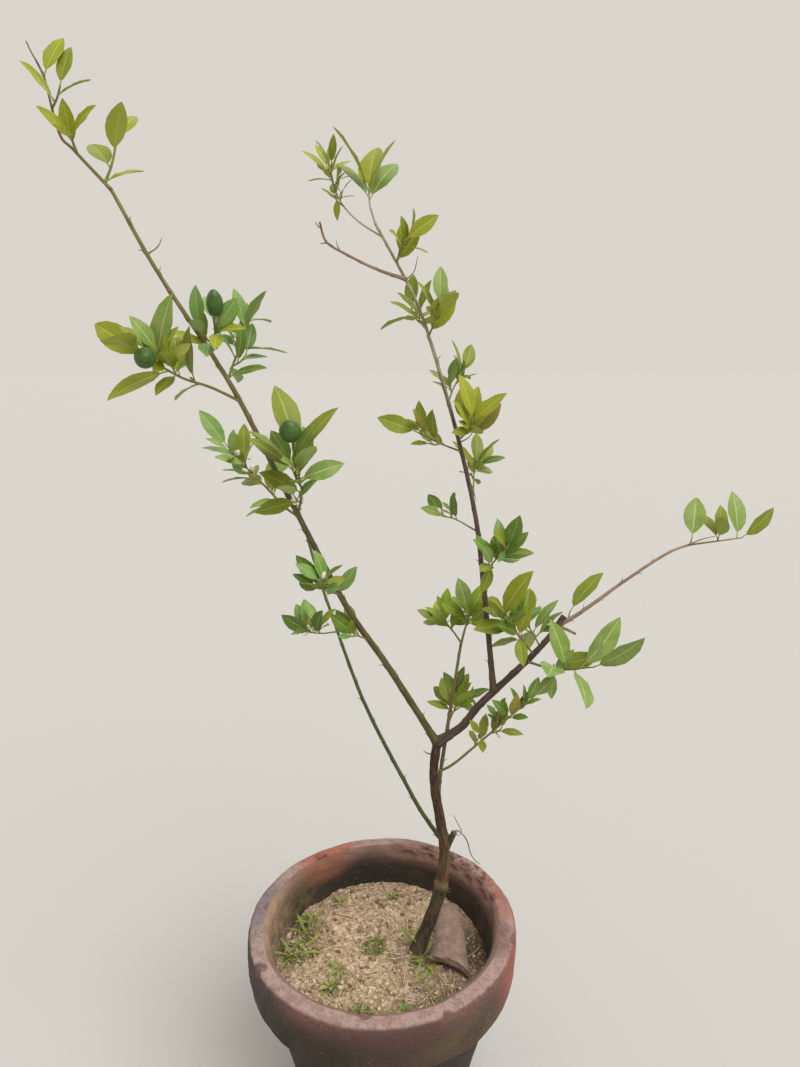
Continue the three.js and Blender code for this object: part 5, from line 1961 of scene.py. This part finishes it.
class LEMON_OT_limbs(Operator):
    """Grows the trunk and boughs with their bark, cut stubs, spines and dead twiglets"""

    bl_idname = "lemon.limbs"
    bl_label = "Trunk and Boughs"

    def execute(self, context):
        settings = context.scene.lemon_tree
        growth = grow_tree(settings.fine_growth)
        cut = plain_matter("old_cut_wood", "#8d8068", "#5f5444", 2.5, 0.9, 0.3)
        barks = {name: bough_bark(f"citrus_bark_{name}", *row) for name, row in BARK_TONES.items()}
        barks["trunk"] = grafted_bark()
        for name, limb in growth.limbs.items():
            heap = limb_heap(name, limb, settings.bark_relief)
            slot = BARK_SLOTS.get(name, "bough_bark")
            make_piece(f"{name}_wood", heap, [barks[name], cut], slot, [name])
        thorn = plain_matter("citrus_spine", "#8f8a4c", "#b0a468", 5, 0.5)
        dead = plain_matter("dry_twig_bark", "#857a5e", "#5e5540", 4, 0.85)
        make_piece("spines", spine_heap(growth.limbs), [thorn, thorn], "bough_bark")
        make_piece("dead_twiglets", twiglet_heap(growth), [dead, cut], "bough_bark")
        return {"FINISHED"}


class LEMON_OT_twigs(Operator):
    """Grows the green twigs and the leaf stalks of every spray"""

    bl_idname = "lemon.twigs"
    bl_label = "Green Twigs"

    def execute(self, context):
        growth = grow_tree(context.scene.lemon_tree.fine_growth)
        heaps = {kind: Heap() for kind in TWIG_TONES}
        for twig in growth.twigs:
            kind = "woody" if twig.thick >= WOODY_THICK else "green"
            if twig.spray in PALE_TWIGS and not twig.fine:
                kind = "pale"
            swell = foot_swell(twig.thick)
            add_rod(heaps[kind], twig.route, twig.thick, TWIG_TIP, 10, 2.2, swell)
        stalks = Heap()
        for leaf in growth.leaves:
            shares = np.array([0.0, STALK_SHARE / 2, STALK_SHARE * STALK["into_blade"]])
            add_rod(stalks, Route(leaf.along(shares)[0]), STALK["thick"], STALK["thin"], 6, 2.0)
        for kind, heap in heaps.items():
            bark = bough_bark(f"{kind}_twig_bark", *TWIG_TONES[kind])
            make_piece(f"{kind}_twigs", heap, [bark, bark], "foliage", SPRAY_NAMES)
        stalk = plain_matter("leaf_stalk", "#84903a", "#9a9e4a", 5, 0.5, 0.05)
        make_piece("leaf_stalks", stalks, [stalk, stalk], "foliage", SPRAY_NAMES)
        return {"FINISHED"}


class LEMON_OT_leaves(Operator):
    """Hangs the leaves on the twigs, each spray in its own tint"""

    bl_idname = "lemon.leaves"
    bl_label = "Leaves"

    def execute(self, context):
        settings = context.scene.lemon_tree
        growth = grow_tree(settings.fine_growth)
        thick = settings.leaf_thickness / MM
        luck = luck_from(TINT_SEED)
        heaps = {}
        for leaf in growth.leaves:
            _, main, second, rare = FOLIAGE[leaf.spray]
            draw = next(luck)
            tint = rare if draw < RARE_TINT else second if leaf.fine and draw < FINE_TINT else main
            shape = blade_shape(*(BLADE if leaf.length > FULL_BLADE_FROM else SMALL_BLADE))
            heap = heaps.setdefault(tint, Heap())
            heap.add(shape, *leaf_points(shape, leaf, thick, next(luck)))
        for tint, heap in heaps.items():
            finishes = leaf_materials(tint)
            make_piece(f"{tint}_leaves", heap, finishes, "foliage", SPRAY_NAMES, LEAF_RIM)
        return {"FINISHED"}


class LEMON_OT_fruit(Operator):
    """Hangs the green lemons on their stalks and sets the flower buds"""

    bl_idname = "lemon.fruit"
    bl_label = "Lemons and Buds"

    def execute(self, context):
        growth = grow_tree(context.scene.lemon_tree.fine_growth)
        bm = bmesh.new()
        bmesh.ops.create_uvsphere(bm, u_segments=40, v_segments=28, radius=1)
        ball, bud = shape_of(bm), bud_shape()
        rinds, caps, buds = Heap(), Heap(), Heap()
        thick = FRUIT_STALK["thick"]
        for fruit in growth.fruits:
            rinds.add(ball, lemon_points(ball, fruit))
            add_rod(caps, fruit.stalk, thick, FRUIT_STALK["thin"], 8)
            end = fruit.centre - fruit.axis * fruit.radius * (FRUIT_LONG[fruit.spray] - FRUIT_NECK)
            cap = Route([end - 1.2 * fruit.axis, end + 0.6 * fruit.axis])
            add_rod(caps, cap, thick, FRUIT_STALK["calyx"], 10, 0.6)
        wide, long = BUD_SIZE
        for spray, share, count in BUDS:
            stem = next(twig for twig in growth.twigs if twig.spray == spray)
            start, along = stem.route.at(share), stem.route.along(share)
            for i in range(count):
                turn = BUD_STALK["turn"] + i * GOLDEN_ANGLE
                direction, _ = aim_leaf(along, turn, BUD_STALK["spread"], BUD_STALK["lift"])
                run = BUD_STALK_RUNS[0] + BUD_STALK_RUNS[1] * i
                stalk = Route([start, start + direction * run])
                add_rod(caps, stalk, BUD_STALK["thick"], BUD_STALK["thin"], 6, 1.5)
                centre = stalk.at(1.0) + direction * long * 0.85
                buds.add(bud, ball_on(direction, centre, bud.points * (wide, wide, long)))
        calyx = plain_matter("green_calyx", "#7d8c46", "#97a05a", 3, 0.6)
        petal = plain_matter("closed_white_petals", "#ece6dc", "#e2d3cf", 4, 0.55, 0.05)
        blush = plain_matter("pink_bud_base", "#c9a0a0", "#a98a78", 3, 0.55, 0.05)
        make_piece("green_lemons", rinds, [lemon_rind()], "foliage", SPRAY_NAMES)
        make_piece("fruit_stalks", caps, [calyx, calyx], "foliage", SPRAY_NAMES)
        make_piece("flower_buds", buds, [petal, blush], "foliage", SPRAY_NAMES)
        return {"FINISHED"}


class LEMON_OT_stage(Operator):
    """Sets the pale floor, the soft lights and the camera"""

    bl_idname = "lemon.stage"
    bl_label = "Stage"

    def execute(self, context):
        settings = context.scene.lemon_stage
        scene = context.scene
        bm = bmesh.new()
        bmesh.ops.create_grid(bm, x_segments=1, y_segments=1, size=FLOOR_HALF)
        mesh = bpy.data.meshes.new("floor")
        bm.to_mesh(mesh)
        bm.free()
        floor = bpy.data.objects.new("floor", mesh)
        scene.collection.objects.link(floor)
        material, tree, shader = surface("pale_studio_floor", 0.9)
        coat(tree, shader, (*settings.floor, 1.0))
        mesh.materials.append(material)
        floor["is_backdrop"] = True
        on_floor = 0.0
        for name, way, strength, wide in LAMPS:
            light = bpy.data.lights.new(name, "SUN")
            light.energy = strength
            light.angle = math.radians(wide)
            lamp = bpy.data.objects.new(name, light)
            lamp.location = way
            lamp.rotation_euler = Vector(way).to_track_quat("Z", "Y").to_euler()
            scene.collection.objects.link(lamp)
            on_floor += strength * Vector(way).normalized().z / math.pi
        world = bpy.data.worlds.new("studio")
        world.use_nodes = True
        background = world.node_tree.nodes["Background"]
        around = [tone / (1 - tone) for tone in settings.floor]
        background.inputs["Color"].default_value = (*around, 1.0)
        background.inputs["Strength"].default_value = on_floor * FLOOR_SHEEN
        scene.world = world
        scene.view_settings.view_transform = "Standard"
        camera = bpy.data.objects.new("camera", bpy.data.cameras.new("camera"))
        camera.data.lens = settings.lens
        camera.data.sensor_width = CAMERA_SENSOR
        camera.location = CAMERA_PLACE
        camera.rotation_euler = (math.pi / 2 - settings.tilt, 0, 0)
        scene.collection.objects.link(camera)
        scene.camera = camera
        return {"FINISHED"}


OPERATORS = (
    LEMON_OT_pot, LEMON_OT_soil, LEMON_OT_litter, LEMON_OT_seedlings, LEMON_OT_potsherd,
    LEMON_OT_limbs, LEMON_OT_twigs, LEMON_OT_leaves, LEMON_OT_fruit, LEMON_OT_stage,
)
SETTINGS = {
    "lemon_pot": PotSettings, "lemon_soil": SoilSettings, "lemon_tree": TreeSettings,
    "lemon_stage": StageSettings,
}


class LEMON_PT_tree(Panel):
    """The settings and the pieces, in the order that they are made"""

    bl_idname = "LEMON_PT_tree"
    bl_label = "Potted Lemon Tree"
    bl_space_type = "VIEW_3D"
    bl_region_type = "UI"
    bl_category = "Lemon Tree"

    def draw(self, context):
        layout = self.layout
        for name, group in SETTINGS.items():
            box = layout.box()
            for key in group.__annotations__:
                box.prop(getattr(context.scene, name), key)
        for operator in OPERATORS:
            layout.operator(operator.bl_idname)


def register():
    for cls in (*SETTINGS.values(), *OPERATORS, LEMON_PT_tree):
        bpy.utils.register_class(cls)
    for name, group in SETTINGS.items():
        setattr(bpy.types.Scene, name, PointerProperty(type=group))


def unregister():
    for name in SETTINGS:
        delattr(bpy.types.Scene, name)
    for cls in reversed((*SETTINGS.values(), *OPERATORS, LEMON_PT_tree)):
        bpy.utils.unregister_class(cls)


def main():
    register()
    bpy.ops.lemon.pot()
    bpy.ops.lemon.soil()
    bpy.ops.lemon.litter()
    bpy.ops.lemon.seedlings()
    bpy.ops.lemon.potsherd()
    bpy.ops.lemon.limbs()
    bpy.ops.lemon.twigs()
    bpy.ops.lemon.leaves()
    bpy.ops.lemon.fruit()
    bpy.ops.lemon.stage()
    sizes = [[list(corner) for corner in box] for box in (CAD_BOX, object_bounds())]


if __name__ == "__main__":
    main()
